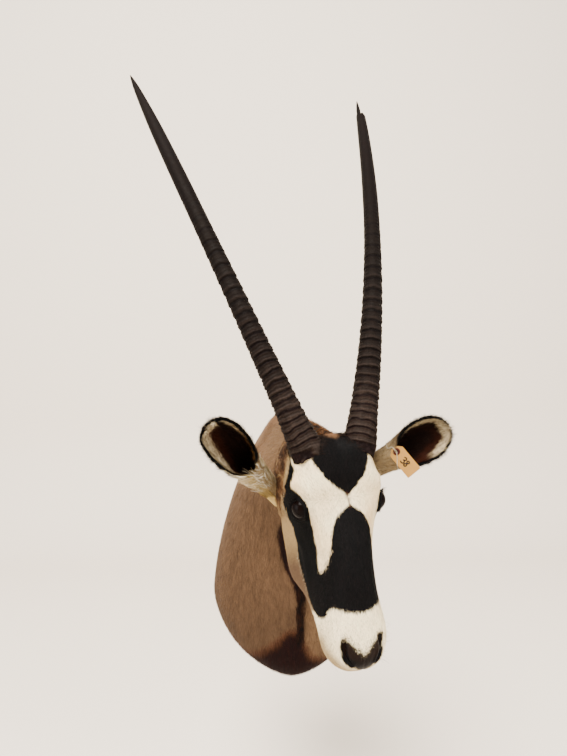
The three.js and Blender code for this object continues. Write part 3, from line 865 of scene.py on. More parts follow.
def coatAt(points, ragged=1.0):
    lan = toHead(points)
    half, _ = mirrored(points)
    l, a, n = lan.T
    s = np.abs(l)
    wobble = (noise(points * 900, 3) - 0.5) * 3.2 * ragged
    soft = 1.1
    x, y, z = points.T * 1000
    # neck
    colour = np.tile(tones["tan"], (len(points), 1))
    colour = over(colour, tones["rufous"], 0.7 * fade(120, 235, z))
    colour = over(colour, tones["lowTan"], 0.8 * (1 - fade(-170, -20, z)))
    colour = over(colour, tones["high"], 0.75 * fade(60, 200, z) * noise(points * 14, 8) * 1.4)
    front = 1 - fade(-215, -160, y)
    throat = edge(straight(throatHalf, z) - np.abs(x - neckMiddle(y)) + wobble * 1.3, 2.6) * front * (z < 100)
    colour = over(colour, tones["brisket"], throat)
    pale = fade(18, 34, x) * (1 - fade(-130, -80, z)) * front
    colour = over(colour, tones["high"], 0.8 * pale)
    below = straight(brisketTop, x) - z + wobble * 3 + 16 * (noise(points * 30, 19) - 0.5)
    colour = over(colour, tones["brown"], 0.8 * fade(-20, 0, below))
    colour = over(colour, tones["brisket"], fade(-6, 14, below))
    crest = edge(7 + 5 * noise(points * 60, 5) - np.abs(x - straight(crestLine, y)), 4)
    crest = crest * fade(150, 200, z) * (y > -380) * (1 - fade(-60, -20, n))
    colour = over(colour, tones["mane"], 0.85 * crest)
    # head
    onHead = headShare(lan)
    cream = edge(n - smoothValue(creamBack, a) + wobble, 3.0) * fade(-12, 6, a)
    colour = over(colour, tones["cream"], cream * fade(0.02, 0.3, onHead))
    dusk = fade(118, 165, a) * (1 - fade(-88, -60, n)) * fade(0.3, 0.8, onHead)
    colour = over(colour, tones["dusky"], 0.85 * dusk)
    behindEar = fade(-45, -10, a) * (1 - fade(-62, -52, n)) * fade(-150, -110, n) * (1 - fade(60, 100, a))
    streaks = noise(np.stack([l / 3.5, (a * 0.8 - n * 0.6) / 3.5, (n * 0.8 + a * 0.6) / 40], 1), 23)
    colour = over(colour, tones["rufous"], behindEar * 0.9)
    colour = over(colour, tones["mane"], behindEar * fade(0.42, 0.62, streaks) * 0.85)
    colour = over(colour, tones["cream"], behindEar * (1 - fade(0.25, 0.4, streaks)) * 0.7)
    white = edge(n - smoothValue(stripeBack, np.minimum(a, 228)) + wobble, soft) * fade(-4, 6, a)
    colour = over(colour, tones["white"], white * onHead)
    warm = noise(lan / 26, 17) * 0.8 * (1 - fade(-6, 2, n) * 0.5)
    colour = over(colour, tones["yellow"], 1.15 * warm * white * onHead * (a < 215))
    muzzle = fade(212, 226, a) * fade(-78, -60, n)
    colour = over(colour, tones["white"], muzzle)
    atLips = (a > 200) & (n > -110)
    lipGap, _ = lineGap(half, mouthLine, atLips)
    nostrilGap, nostrilPlace = lineGap(half, nostrilLine, atLips)
    colour = over(colour, tones["lip"], fade(236, 262, a) * (1 - fade(12, 27, lipGap + wobble)) * 0.9)
    fuzz = noseBare(half, -15, 5) * ragged
    fuzzy = (noise(points * 7000, 12) < 0.16 + 0.66 * fuzz) * (fuzz > 0.02)
    colour = over(colour, tones["nose"], 0.96 * fuzzy)
    narrower = 2.5 * (1 - fade(0, 0.2, nostrilPlace))  # towards the top of the nostril
    colour = over(colour, tones["black"], ragged * (1 - fade(4.0, 5.2, nostrilGap + narrower)))
    stripe = np.minimum(
        edge(smoothValue(stripeFront, a) - n + wobble, soft),
        edge(n - smoothValue(stripeBack, a) + wobble, soft),
    ) * (s > 36) * (a > -25) * edge(smoothValue(stripeEnd, n) - a + wobble, soft)
    stripe = stripe * np.where(a > 200, edge(smoothValue(blazeEnd, s) - a + wobble, soft), 1)
    q = eyeSpread(half)[3]
    rim = np.where(a < hide["eye"][1] - 8, 1.42, 1.75)
    stripe = np.maximum(stripe, (1 - fade(rim, rim + 0.2, q + 0.04 * wobble)) * (n > -70) * (a > 50))
    colour = over(colour, tones["stripe"], stripe)
    spikes = (noise(lan / 1.1, 29) - 0.5) * 4.5 * ragged
    blaze = edge(smoothValue(blazeHalf, a) - s + wobble + 0.7 * spikes, soft)
    blaze = blaze * (a > 82) * (n > smoothValue(stripeBack, np.minimum(a, 228)))
    blaze = blaze * edge(smoothValue(blazeEnd, s) - a + wobble * 1.3 + spikes, soft)
    colour = over(colour, tones["black"], blaze)
    forehead = edge(smoothValue(foreheadHalf, a) - s + wobble + 0.9 * spikes, soft)
    forehead = forehead * (a < 74) * (n > -58) * (a > -48)
    nape = 1 - fade(-26, -14, a + 0.3 * (s - 24) + wobble * 2)
    colour = over(colour, tones["black"], forehead * (1 - nape))
    colour = over(colour, tones["rufous"], nape * forehead)
    hornL, _, hornN = head["hornRoot"]
    fromHorn = np.hypot(s - hornL, n - hornN)  # dark hair close round the horns
    collar = (1 - fade(27, 37, fromHorn + wobble)) * (a < 6) * (1 - fade(-20, -8, n))
    colour = over(colour, tones["mane"], collar)
    beside = np.linalg.norm((half - [50, -14, -66]) / [14, 22, 15], axis=1)
    colour = over(colour, tones["mane"], 0.85 * (1 - fade(0.6, 1.2, beside + 0.25 * wobble)))
    grey = (1 - fade(1.9, 3.4, q)) * (n > -40) * (s < 58) * noise(points * 260, 33)
    colour = over(colour, tones["dusky"], 0.5 * grey * white * (1 - stripe))
    crossing = edge(1.2 - s + 0.3 * wobble, 0.8) * fade(68, 72, a) * (1 - fade(85, 89, a))
    colour = over(colour, tones["brown"], 0.75 * crossing)
    return colour, onHead


def shaded(colour, points, onHead, seed):  # streaks and small differences from hair to hair
    lan = toHead(points)
    lean = np.array([0.0, 0.5, -0.86])
    side = np.array([0.0, 0.86, 0.5])
    neckPlace = np.stack([points @ lean * 26, points[:, 0] * 240, points @ side * 240], 1)
    facePlace = np.stack([lan[:, 0] / 3.2, lan[:, 1] / 16, lan[:, 2] / 3.2], 1)
    place = np.where(onHead[:, None] > 0.5, facePlace, neckPlace)
    streak = np.clip((noise(place, seed) * 0.55 + noise(place * 2.3, seed + 7) * 0.45 - 0.5) * 2.4, -1, 1)
    cloud = noise(points * 22, 11)
    own = np.random.default_rng(seed).random(len(points))
    amount = np.where(onHead > 0.5, 0.16, 0.46)
    factor = 1 + amount * streak + 0.24 * (cloud - 0.5) + 0.5 * (own - 0.5) * (1 - 0.4 * onHead)
    dark = colour.max(1) < 0.02
    factor = np.where(dark, 1 + 0.9 * streak * (own > 0.3) + 0.8 * (own - 0.4), factor)
    pale = colour.min(1) > 0.4
    factor = np.where(pale & (own < 0.1), factor * 0.5, factor)  # a few grey hairs in the white
    return np.clip(colour * factor[:, None], 0.002, 0.95)


def paintSkin(mesh):
    points = coordsOf(mesh)
    lan, _ = mirrored(points)
    colour, onHead = coatAt(points, 0.0)
    # painted shade: the skin seen among the hairs is the coat colour made darker
    colour = colour * 0.8
    bare = noseBare(lan)
    colour = over(colour, tones["nose"], bare)
    colour = over(colour, tones["black"], 0.75 * bare * fade(276, 294, lan[:, 1]))
    near = lan[:, 1] > 210
    gap, place = lineGap(lan, nostrilLine, near)
    # near black in the nostril's groove: the nose's dark skin, and painted shade standing in for the depth of
    # the opening
    colour = over(colour, (0.0015, 0.001, 0.001), 1 - fade(4.6, 6.2, gap + 3 * (1 - fade(0, 0.2, place))))
    gap, _ = lineGap(lan, mouthLine, near)
    # darker along the lip line: the lips' dark skin, and painted shade in the parting
    colour = over(colour, tones["mouth"], 1 - fade(0.8, 2.4, gap))
    _, _, w, q = eyeSpread(lan)
    lids = (1 - fade(1.5, 1.8, q)) * (w > 0)
    colour = over(colour, tones["lids"], lids)
    store(mesh, "coat", colour, "FLOAT_COLOR")
    store(mesh, "bare", np.maximum(bare, 0.2 * lids))
    return lan, onHead, q, w


def furGuide(mesh):  # flow, length and cover of the hair, on the skin
    lan, onHead, q, w = paintSkin(mesh)
    points, normals = coordsOf(mesh), normalsOf(mesh)
    side = np.sign(toHead(points)[:, 0])
    s, a, n = lan.T
    zero = np.zeros(len(points))
    toNose = fade(64, 84, a)[:, None]
    up = np.stack([0.5 * side, zero - 1, zero], 1)
    down = np.stack([0.1 * side, zero + 1, -0.8 * (1 - fade(-60, -15, n))], 1)
    faceFlow = up * (1 - toNose) + down * toNose
    back = np.stack([0.1 * side, zero + 0.55, zero - 0.8], 1)
    faceFlow = np.where((n < -50)[:, None], back, faceFlow)
    faceFlow = fromHead(faceFlow) - fromHead((0, 0, 0))
    aside = points[:, 0] * 1000 - neckMiddle(points[:, 1] * 1000)
    neckFlow = np.stack([-0.0012 * aside, zero + 0.45, zero - 0.86], 1)
    flow = unit(faceFlow) * onHead[:, None] + unit(neckFlow) * (1 - onHead[:, None])
    flow = unit(flow + 0.55 * waves(points, 35, 21) * (1 - 0.6 * onHead[:, None]))
    length = 5.2 * onHead + 13 * (1 - onHead)
    length = np.where((a > 225) & (onHead > 0.5), 3.6, length)
    length = np.where(noseBare(lan, -12, 0) > 0.02, np.where(s > 17, 1.6, 2.4), length)
    z = points[:, 2] * 1000
    length += 8 * (1 - fade(-215, -150, z)) + 9 * fade(195, 235, z) * (1 - onHead)
    length = np.minimum(length, (-points[:, 1] * 1000 - 2) * 0.7)  # not past the board
    cover = (1 - noseBare(lan, -1.0, 6.0)) * np.where((q < 1.6) & (w > 0), 0, 1)
    for line, reach in ((nostrilLine, 3.7), (mouthLine, 1.8)):
        gap, place = lineGap(lan, line, a > 210)
        cover = cover * (gap > reach * fade(0, 0.12, place))
    cover = cover * ((points[:, 1] < -0.0215) | (np.abs(normals[:, 1]) < 0.6))
    away = lan - np.array(head["hornRoot"])  # none inside the horns
    cover = cover * ~((np.hypot(away[:, 0], away[:, 2]) < 19) & (away[:, 1] < 6) & (away[:, 1] > -60))
    store(mesh, "flow", flow, "FLOAT_VECTOR")
    store(mesh, "hairLength", length / 1000)
    store(mesh, "coverHead", cover * onHead)
    store(mesh, "coverNeck", cover * (1 - onHead))


furGuide(skinMesh)
skin = link("hide_skin", skinMesh)
skin.data.materials.append(skinLook)
finished(skin, "hide", "hide")

# hair


def hairTree(name, segments):  # flat tapered hairs that stand on a surface and follow its flow
    tree, given = geometryTree(name, {
        "Density": 1e6, "Width": 0.0007, "Lift": 12.0, "Spread": 12.0, "Roll": 25.0, "Curl": 0.0,
        "Seed": 1, "Material": None,
    })

    def randomValue(low, high, shift):
        seed = maths(tree, "ADD", given["Seed"], shift)
        value = treeNode(tree, "FunctionNodeRandomValue", {"Seed": seed}, data_type="FLOAT")
        floats = [s for s in value.inputs if s.type == "VALUE"]
        floats[0].default_value, floats[1].default_value = low, high
        return [s for s in value.outputs if s.type == "VALUE"][0]

    def randomAngle(size, shift):  # radians, either way of zero
        return times(tree, randomValue(-1.0, 1.0, shift), maths(tree, "RADIANS", size))

    scatter = treeNode(tree, "GeometryNodeDistributePointsOnFaces", {
        "Mesh": given["Geometry"], "Density": times(tree, given["Density"], stored(tree, "cover")),
        "Seed": given["Seed"],
    })
    if segments == 1:  # one triangle, its root edge at the origin and its tip at x = 1
        hair = nodeOut(tree, "GeometryNodeMeshCircle", {"Vertices": 3, "Radius": 1.0}, fill_type="NGON")
        hair = nodeOut(tree, "GeometryNodeTransform", {"Geometry": hair, "Translation": (0.5, 0, 0)})
        hair = nodeOut(tree, "GeometryNodeTransform", {"Geometry": hair, "Scale": (1 / 1.5, 1 / 3**0.5, 1)})
    else:  # a tapered strip, bent up by Curl
        hair = nodeOut(tree, "GeometryNodeMeshGrid", {
            "Size X": 1.0, "Size Y": 1.0, "Vertices X": segments + 1, "Vertices Y": 2,
        })
        hair = nodeOut(tree, "GeometryNodeTransform", {"Geometry": hair, "Translation": (0.5, 0, 0)})
        x, y, _ = treeNode(tree, "ShaderNodeSeparateXYZ", {0: position(tree)}).outputs
        taper = maths(tree, "POWER", maths(tree, "SUBTRACT", 1.02, x), 0.6)
        bent = combined(tree, x, times(tree, y, taper), times(tree, x, x, given["Curl"]))
        hair = nodeOut(tree, "GeometryNodeSetPosition", {"Geometry": hair, "Position": bent})
    hair = keptAs(tree, hair, "along", nodeOut(tree, "ShaderNodeSeparateXYZ", {0: position(tree)}))
    points = keptAs(tree, scatter.outputs["Points"], "root", position(tree), "FLOAT_VECTOR")
    lay = nodeOut(tree, "FunctionNodeAxesToRotation", {
        0: scatter.outputs["Normal"], 1: stored(tree, "flow", "FLOAT_VECTOR"),
    }, primary_axis="Z", secondary_axis="X")
    tilt = randomAngle(times(tree, given["Lift"], 0.6), 11)
    lift = maths(tree, "ADD", maths(tree, "RADIANS", given["Lift"]), tilt)
    angles = combined(
        tree, randomAngle(given["Roll"], 12), times(tree, lift, -1.0), randomAngle(given["Spread"], 13),
    )
    own = nodeOut(tree, "FunctionNodeEulerToRotation", {0: angles})
    rotation = nodeOut(tree, "FunctionNodeRotateRotation", {0: lay, 1: own}, rotation_space="LOCAL")
    length = times(tree, stored(tree, "hairLength"), randomValue(0.65, 1.2, 14))
    size = combined(tree, length, times(tree, given["Width"], randomValue(0.7, 1.3, 15)), length)
    stood = nodeOut(tree, "GeometryNodeInstanceOnPoints", {
        "Points": points, "Instance": hair, "Rotation": rotation, "Scale": size,
    })
    return ended(tree, stood, given["Material"])


shortHair = hairTree("short hair", 1)


def rootsOf(mesh):
    roots = np.empty(len(mesh.vertices) * 3, np.float32)
    mesh.attributes["root"].data.foreach_get("vector", roots)
    return roots.reshape(-1, 3).astype(float)


def coloured(piece, perHair, colourOf, seed):  # one colour to a hair; keeps only what the material reads
    mesh = piece.data
    roots = rootsOf(mesh)[::perHair]
    store(mesh, "coat", np.repeat(colourOf(roots, seed), perHair, axis=0), "FLOAT_COLOR")
    for attribute in list(mesh.attributes):
        if attribute.name not in ("coat", "along") and not attribute.is_internal and not attribute.is_required:
            mesh.attributes.remove(attribute)


def hideColour(roots, seed):
    colour, onHead = coatAt(roots)
    return shaded(colour, roots, onHead, seed)


def withCover(mesh, name):
    copy = mesh.copy()
    cover = np.empty(len(mesh.vertices), np.float32)
    mesh.attributes[name].data.foreach_get("value", cover)
    store(copy, "cover", cover)
    return copy


hairCoats = {  # density is hairs to the square metre in a layer, width in metres, angles in degrees
    "head": {
        "cover": "coverHead", "layers": 2, "density": 900000.0, "width": 0.00062, "lift": 11.0,
        "spread": 13.0, "roll": 20.0,
    },
    "neck": {
        "cover": "coverNeck", "layers": 3, "density": 330000.0, "width": 0.00105, "lift": 9.0,
        "spread": 11.0, "roll": 26.0,
    },
}
for place, given in hairCoats.items():
    for layer in range(1, given["layers"] + 1):
        piece = grown(f"hair_{place}_{layer}", withCover(skinMesh, given["cover"]), shortHair, {
            "Density": given["density"] * 1, "Width": given["width"],
            "Lift": given["lift"], "Spread": given["spread"], "Roll": given["roll"],
            "Seed": layer * 10 + given["layers"],
            "Material": hairLook,
        })
        coloured(piece, 3, hideColour, layer)
        finished(piece, "hide")
        print(piece.name, len(piece.data.polygons), "hairs")

# horns

horn = {
    "reach": 824, "splay": 14.2, "sweep": 11.9,  # mm from root to tip, degrees outwards and back
    "forward": 34, "out": 11.5, "early": 0.25,  # the bow, mm, and how much of it comes early
    "sunk": 14, "slices": 640, "tipSlices": 100, "tipFrom": 0.915, "sides": 72,
    "ringZone": 0.57, "ringCount": 25.0,
    "radii": {
        "left": [
            (0, 24.4), (0.07, 20.4), (0.17, 18), (0.3, 16), (0.47, 14.4), (0.62, 13.9), (0.73, 12.9),
            (0.86, 11.2), (0.918, 9.7), (0.927, 9.3), (0.932, 5.4), (0.955, 4.3), (0.98, 2.7), (1, 0.7),
        ],
        "right": [
            (0, 23.8), (0.07, 19.6), (0.17, 17.2), (0.3, 15.3), (0.47, 14), (0.62, 13.4), (0.73, 12.4),
            (0.82, 10.7), (0.94, 6.2), (0.98, 3.2), (1, 0.8),
        ],
    },
    # colours by the ring's height: near black in the valleys as painted shade, and lighter on the crests,
    # partly their worn colour and partly painted highlight
    "crestShadeAndHighlight": ((0.0, "010000"), (0.3, "060303"), (0.6, "0c0705"), (0.85, "0f0b09"), (1.0, "17110e")),
    "paler": [(0, 1), (0.06, 0.92), (0.14, 0.5), (0.3, 0.29), (0.55, 0.3), (1, 0.48)], "palerBy": 2.5,
}
brokenSheath = {"at": 0.928, "reach": 0.007, "jag": 0.012, "shift": 0.0032}  # on the left horn


def hornPoints(side, t):
    t = np.asarray(t, float)
    bow = 4 * t * (1 - t) * (1 + horn["early"] * (1 - 2 * t))
    splay, sweep = radians(horn["splay"]), radians(horn["sweep"])
    out = np.sin(splay) * horn["reach"] * t + horn["out"] * bow
    along = np.cos(splay) * horn["reach"] * t
    l, a, n = head["hornRoot"]
    return fromHead(np.stack([
        side * (l + out), a - along * np.cos(sweep), n - along * np.sin(sweep) + horn["forward"] * bow,
    ], -1))


def hornTree():
    tree, given = geometryTree("ringed horn", {
        "Sides": 64, "Ring count": 25.0, "Ring height": 0.0017, "Wobble": 0.13, "Seed": 1, "Material": None,
    })
    t, radius = stored(tree, "share"), stored(tree, "thick")
    ring = nodeOut(tree, "GeometryNodeCurvePrimitiveCircle", {"Resolution": given["Sides"], "Radius": 1.0})
    ring = keptAs(tree, ring, "around", tree.nodes.new("GeometryNodeSplineParameter").outputs["Factor"])
    path = nodeOut(tree, "GeometryNodeMeshToCurve", {0: given["Geometry"]})
    path = nodeOut(tree, "GeometryNodeSetCurveRadius", {"Curve": path, "Radius": radius})
    sweep = treeNode(tree, "GeometryNodeCurveToMesh", {"Curve": path, "Profile Curve": ring, "Fill Caps": True})
    if "Scale" in sweep.inputs:
        tree.links.new(radius, sweep.inputs["Scale"])
    shift = times(tree, given["Seed"], 7.3)
    moved = nodeOut(tree, "ShaderNodeVectorMath", {
        0: position(tree), 1: combined(tree, shift, shift, shift),
    }, operation="ADD")
    broad, fine = noiseNode(tree, moved, 34.0, 2.0), noiseNode(tree, moved, 210.0, 3.0)
    # ring number at each height, made uneven, and more so near the root
    phase = times(tree, floatCurve(tree, maths(tree, "DIVIDE", t, horn["ringZone"]), [
        (0, 0), (0.1, 0.16), (0.25, 0.35), (0.5, 0.62), (0.75, 0.82), (1, 1),
    ]), given["Ring count"])
    unevenAt = floatCurve(tree, t, [(0, 1), (0.1, 0.8), (0.25, 0.4), (1, 0.3)])
    uneven = times(tree, maths(tree, "SUBTRACT", broad, 0.5), unevenAt, times(tree, given["Wobble"], 9.0))
    phase = maths(tree, "ADD", phase, uneven)
    profile = floatCurve(tree, maths(tree, "FRACT", phase), [
        (0, 0.05), (0.07, 0.2), (0.16, 0.9), (0.24, 1), (0.5, 0.8), (0.78, 0.6), (0.93, 0.3), (1, 0.05),
    ])
    tall = floatCurve(tree, t, [
        (0, 0.8), (0.04, 0.95), (0.14, 1), (0.3, 1), (0.4, 0.75), (0.47, 0.4), (0.53, 0.14), (0.58, 0), (1, 0),
    ])
    rise = times(tree, maths(tree, "SUBTRACT", profile, 0.42), times(tree, tall, given["Ring height"]))
    # fine wrinkles between the rings, strongest at the root
    wave = maths(tree, "ADD", times(tree, phase, 2 * pi * 3.1), times(tree, fine, 9.0))
    wrinkleAt = floatCurve(tree, t, [(0, 1), (0.1, 0.75), (0.3, 0.35), (0.6, 0.12), (0.7, 0), (1, 0)])
    wrinkle = times(tree, maths(tree, "SINE", wave), wrinkleAt, 0.0011)
    pitsAt = floatCurve(tree, t, [(0, 1), (0.3, 0.6), (0.65, 0.22), (0.9, 0.1), (1, 0.3)])
    pits = times(tree, maths(tree, "SUBTRACT", fine, 0.5), 0.0011, pitsAt)
    total = maths(tree, "ADD", rise, maths(tree, "ADD", wrinkle, pits))
    smooth = times(tree, maths(tree, "SUBTRACT", 1.0, tall), 0.45)
    body = keptAs(tree, sweep.outputs[0], "crest", maths(tree, "ADD", times(tree, profile, tall), smooth))
    offset = scaled(tree, nodeOut(tree, "GeometryNodeInputNormal"), total)
    body = nodeOut(tree, "GeometryNodeSetPosition", {"Geometry": body, "Offset": offset})
    body = nodeOut(tree, "GeometryNodeSetShadeSmooth", {"Geometry": body, "Shade Smooth": True})
    return ended(tree, body, given["Material"])


def hornMaterial():
    made, tree, shader = material("horn", specular=0.035, tint=(1.0, 0.89, 0.8, 1))
    share = painted(tree, "share")
    # painted shade in the ring valleys and painted highlight on the crests, by the ring's height
    ramp = treeNode(tree, "ShaderNodeValToRGB", {"Fac": painted(tree, "crest")})
    stops = ramp.color_ramp.elements
    for at, code in horn["crestShadeAndHighlight"]:
        stop = stops[0] if at == 0 else stops[-1] if at == 1 else stops.new(at)
        stop.color = (*paint(code), 1)
    lengthwise = combined(tree, times(tree, painted(tree, "around"), 9.0), times(tree, share, 6.0), 0.0)
    streaks = grainNode(tree, lengthwise, 5.0, 0.78, 1.2)
    mottle = grainNode(tree, objectPlace(tree), 95.0, 0.75, 1.28)
    paler = times(tree, floatCurve(tree, share, horn["paler"]), horn["palerBy"])
    worn = times(tree, streaks, mottle, paler)
    tree.links.new(scaled(tree, ramp.outputs[0], worn), shader.inputs["Base Color"])
    tree.links.new(remapped(tree, mottle, 0.5, 0.66, 0.75, 1.28), shader.inputs["Roughness"])
    bump(tree, shader, noiseNode(tree, lengthwise, 22.0, 3.0), 0.45, 0.0008)
    return made


hornLook = hornMaterial()
ringedHorn = hornTree()


def makeHorn(name, side):
    start = -horn["sunk"] / horn["reach"]
    lower = np.linspace(start, horn["tipFrom"], horn["slices"])
    t = np.concatenate([lower, np.linspace(horn["tipFrom"], 1, horn["tipSlices"])[1:]])
    points = hornPoints(side, t)
    if name == "left":
        points = points - brokenSheath["shift"] * fade(0.927, 0.934, t)[:, None] * np.array([1.0, 0, 0])
    path = bpy.data.meshes.new(name)
    path.from_pydata([tuple(p) for p in points], [(i, i + 1) for i in range(len(points) - 1)], [])
    store(path, "share", np.clip(t, 0, 1))
    store(path, "thick", smoothValue(horn["radii"][name], np.maximum(t, 0)) / 1000)
    piece = grown("ringed_horn_" + name, path, ringedHorn, {
        "Sides": horn["sides"], "Ring count": horn["ringCount"], "Seed": 1 if side > 0 else 2,
        "Material": hornLook,
    })
    if name == "left":  # the ragged top of the sheath
        points = coordsOf(piece.data)
        share = np.empty(len(points), np.float32)
        piece.data.attributes["share"].data.foreach_get("value", share)
        away = points - hornPoints(side, share)
        angle = np.arctan2(away[:, 1], away[:, 0])
        jag = noise(np.stack([np.cos(angle) * 3.1, np.sin(angle) * 3.1, share * 0], 1), 6) - 0.6
        near = np.exp(-(((share - brokenSheath["at"]) / brokenSheath["reach"]) ** 2))
        upwards = unit(hornPoints(side, share + 0.01) - hornPoints(side, share))
        points += (near * jag * brokenSheath["jag"])[:, None] * upwards
        putCoords(piece.data, points)
    outwards(piece.data)
    return finished(piece, "horn", "horn_" + name)


for name, side in (("left", 1), ("right", -1)):
    made = makeHorn(name, side)
    print(made.name, len(made.data.polygons), "faces")

# eyes


glass = {
    "iris": "080403", "around": "070404", "pupil": (0.003, 0.002, 0.002), "irisRadius": (8.5, 10),
    "pupilLong": 6.8, "pupilHigh": 3.2, "inset": 0.25, "bulge": 0.27, "bulgeReach": 0.75,  # mm, and radians
}


def eyeMaterial():
    made, tree, shader = material("eye", rough=0.08, specular=0.025)
    tree.links.new(painted(tree, "coat", "Color"), shader.inputs["Base Color"])
    return made


eyeLook = eyeMaterial()


def makeEye(name, side):
    rings = []
    out, long, high = eyeWays()
    angle = np.linspace(0, 2 * pi, 72, endpoint=False)
    for polar in np.linspace(0.02, pi - 0.02, 60):
        radius = hide["eyeRadius"] - glass["inset"] + glass["bulge"] * hump(polar, glass["bulgeReach"])
        around = np.cos(angle)[:, None] * long + np.sin(angle)[:, None] * high
        way = np.cos(polar) * out + np.sin(polar) * around
        rings.append(np.array(hide["eye"]) + way * radius)
    rings = np.array(rings) * np.array([side, 1, 1])
    mesh = outwards(meshOf("glass_eye_" + name, *loft(fromHead(rings))))
    lan, _ = mirrored(coordsOf(mesh))
    u, v, w, _ = eyeSpread(lan)
    fibres = 0.7 + 0.6 * noise(np.stack([np.arctan2(v, u) * 9, u * 0.1, v * 0.1], 1), 4)
    colour = np.tile(paint(glass["around"]), (len(lan), 1))
    inIris = (1 - fade(*glass["irisRadius"], np.hypot(u, v))) * (w > 0)
    colour = over(colour, paint(glass["iris"]) * fibres[:, None], inIris)
    inPupil = 1 - fade(0.9, 1.1, np.hypot(u / glass["pupilLong"], v / glass["pupilHigh"]))
    colour = over(colour, glass["pupil"], inPupil * (w > 0))
    store(mesh, "coat", colour, "FLOAT_COLOR")
    mesh.materials.append(eyeLook)
    return finished(link("glass_eye_" + name, mesh), "eye", "eye_" + name)


makeEye("left", 1)
makeEye("right", -1)
print("eyes")

# ears

earTones = {name: paint(code) for name, code in {
    "inside": "150a06", "cream": "d9c49c", "rim": "040202", "back": "574633", "tube": "a48d69",
    "tuft": "c2b08a", "flap": "b09760", "amber": "75512c", "russet": "2c140b",
}.items()}


def earShell(name):
    side = ears[name]["side"]
    t = np.concatenate([np.linspace(-earShape["sunk"], 0.9, 78), np.linspace(0.9, 1.0, 24)[1:]])
    half = np.radians(smoothValue(earShape["roll"], t))
    radius = earRadius(name, t)
    rings = []
    steps = earShape["arcSteps"]
    arc = np.linspace(-1, 1, steps)
    wall = earShape["thickness"] / 1000
    for i, at in enumerate(t):
        ripple = 1 + 0.012 * np.sin(arc * 9 + at * 7 * side)
        inside = np.maximum(radius[i] - wall, 0.3 * radius[i])
        outer = earPoint(name, np.full(steps, at), arc * half[i], radius[i] * ripple)
        inner = earPoint(name, np.full(steps, at), (arc * half[i] * 0.992)[::-1], inside * ripple[::-1])
        rings.append(np.vstack([outer, inner]))
    points, faces = loft(np.array(rings), caps=False)
    count = 2 * steps
    for start, flip in ((0, True), ((len(t) - 1) * count, False)):
        for s in range(steps - 1):
            quad = [start + s, start + s + 1, start + count - 2 - s, start + count - 1 - s]
            faces.append(quad[::-1] if flip else quad)
    return outwards(meshOf("ear_" + name, points, faces))


def earPlace(name, points):  # share of the length, share round the roll (1 at the lower edge), radius, roll
    root, along, mouth, across, length = earBasis(name)
    away = points - root
    t = away @ along / length
    middle = earRadius(name, np.clip(t, 0, 1)) * earShape["setBack"]
    sideways, forward = away @ across, middle - away @ mouth
    angle = np.arctan2(sideways, forward)
    half = np.radians(smoothValue(earShape["roll"], np.clip(t, 0, 1)))
    radius = np.hypot(sideways, forward)
    return t, angle / half * ears[name]["side"], radius, half


def earEdge(name, points):  # mm from the free edge or the tip
    t, around, radius, half = earPlace(name, points)
    sideways = (1 - np.abs(around)) * half * radius * 1000
    return np.where(t > 0.42, np.minimum(sideways, (1 - t) * earBasis(name)[4] * 1000 + 1.5), 99)


def earColour(name, points, inside, seed):
    t, around, radius, _ = earPlace(name, points)
    russetTurn = 1 if name == "right" else 0.4
    rng = np.random.default_rng(seed)
    edgeMm = earEdge(name, points) + (noise(points * 500, 31) - 0.5) * 3 + rng.normal(0, 0.7, len(points))
    colour = np.tile(earTones["inside"], (len(points), 1))
    if name == "left":
        band = np.where(around < 0, fade(0.5, 0.66, t), fade(0.66, 0.78, t))
        width = np.interp(t, [0.5, 0.7, 0.9, 1], [8, 15, 19, 19])
    else:
        band = np.maximum(fade(0.66, 0.76, t), fade(0.2, 0.5, around) * fade(0.42, 0.55, t))
        width = np.where(around > -0.2, 22, 14)
        amber = (1 - fade(8, 12, edgeMm)) * (around < -0.25) * (t > 0.5) * (t < 0.86)
        colour = over(colour, earTones["amber"], 0.8 * amber)
    strands = noise(np.stack([t * 75, around * 60, edgeMm / 14], 1), 8)
    width = width + 9 * (strands - 0.5)
    cream = fade(2.2, 3.4, edgeMm) * (1 - fade(width - 4, width + 1, edgeMm)) * band
    cream = cream * (1 - 0.6 * fade(0.5, 0.75, strands)) * (rng.random(len(points)) > 0.26)
    russet = fade(-0.3, 0.3, around * russetTurn) * (1 - fade(width + 6, width + 22, edgeMm))
    colour = over(colour, earTones["russet"], russet)
    colour = over(colour, earTones["cream"], cream)
    rimWidth = 0.6 + 2.4 * noise(points * 240, 15)
    colour = over(colour, earTones["rim"], 1 - fade(rimWidth, rimWidth + 1.2, edgeMm))
    outside = np.tile(earTones["back"], (len(points), 1))
    outside = over(outside, earTones["tube"], 1 - fade(0.35, 0.6, t))
    if name == "right":
        outside = over(outside, earTones["flap"], fade(0.3, 0.7, around) * (1 - fade(0.5, 0.7, t)))
        tuft = (1 - fade(0.3, 0.7, around)) * (around > -0.7) * (1 - fade(0.4, 0.55, t))
        outside = over(outside, earTones["tuft"], tuft)
    outside = over(outside, earTones["rim"], (1 - fade(2, 5, edgeMm)) * fade(0.46, 0.55, t))
    outside = over(outside, earTones["rim"], 0.8 * fade(0.93, 0.98, t))
    colour = np.where(inside[:, None], colour, outside)
    streak = noise(np.stack([t * 14, around * 26, radius * 0], 1), seed)
    factor = 1 + 0.6 * (streak - 0.5) + 0.5 * (rng.random(len(points)) - 0.5)
    return np.clip(colour * factor[:, None], 0.002, 0.9)


def isInside(name, points):
    t, _, radius, _ = earPlace(name, points)
    return radius < earRadius(name, np.clip(t, 0, 1)) - 0.5 * earShape["thickness"] / 1000


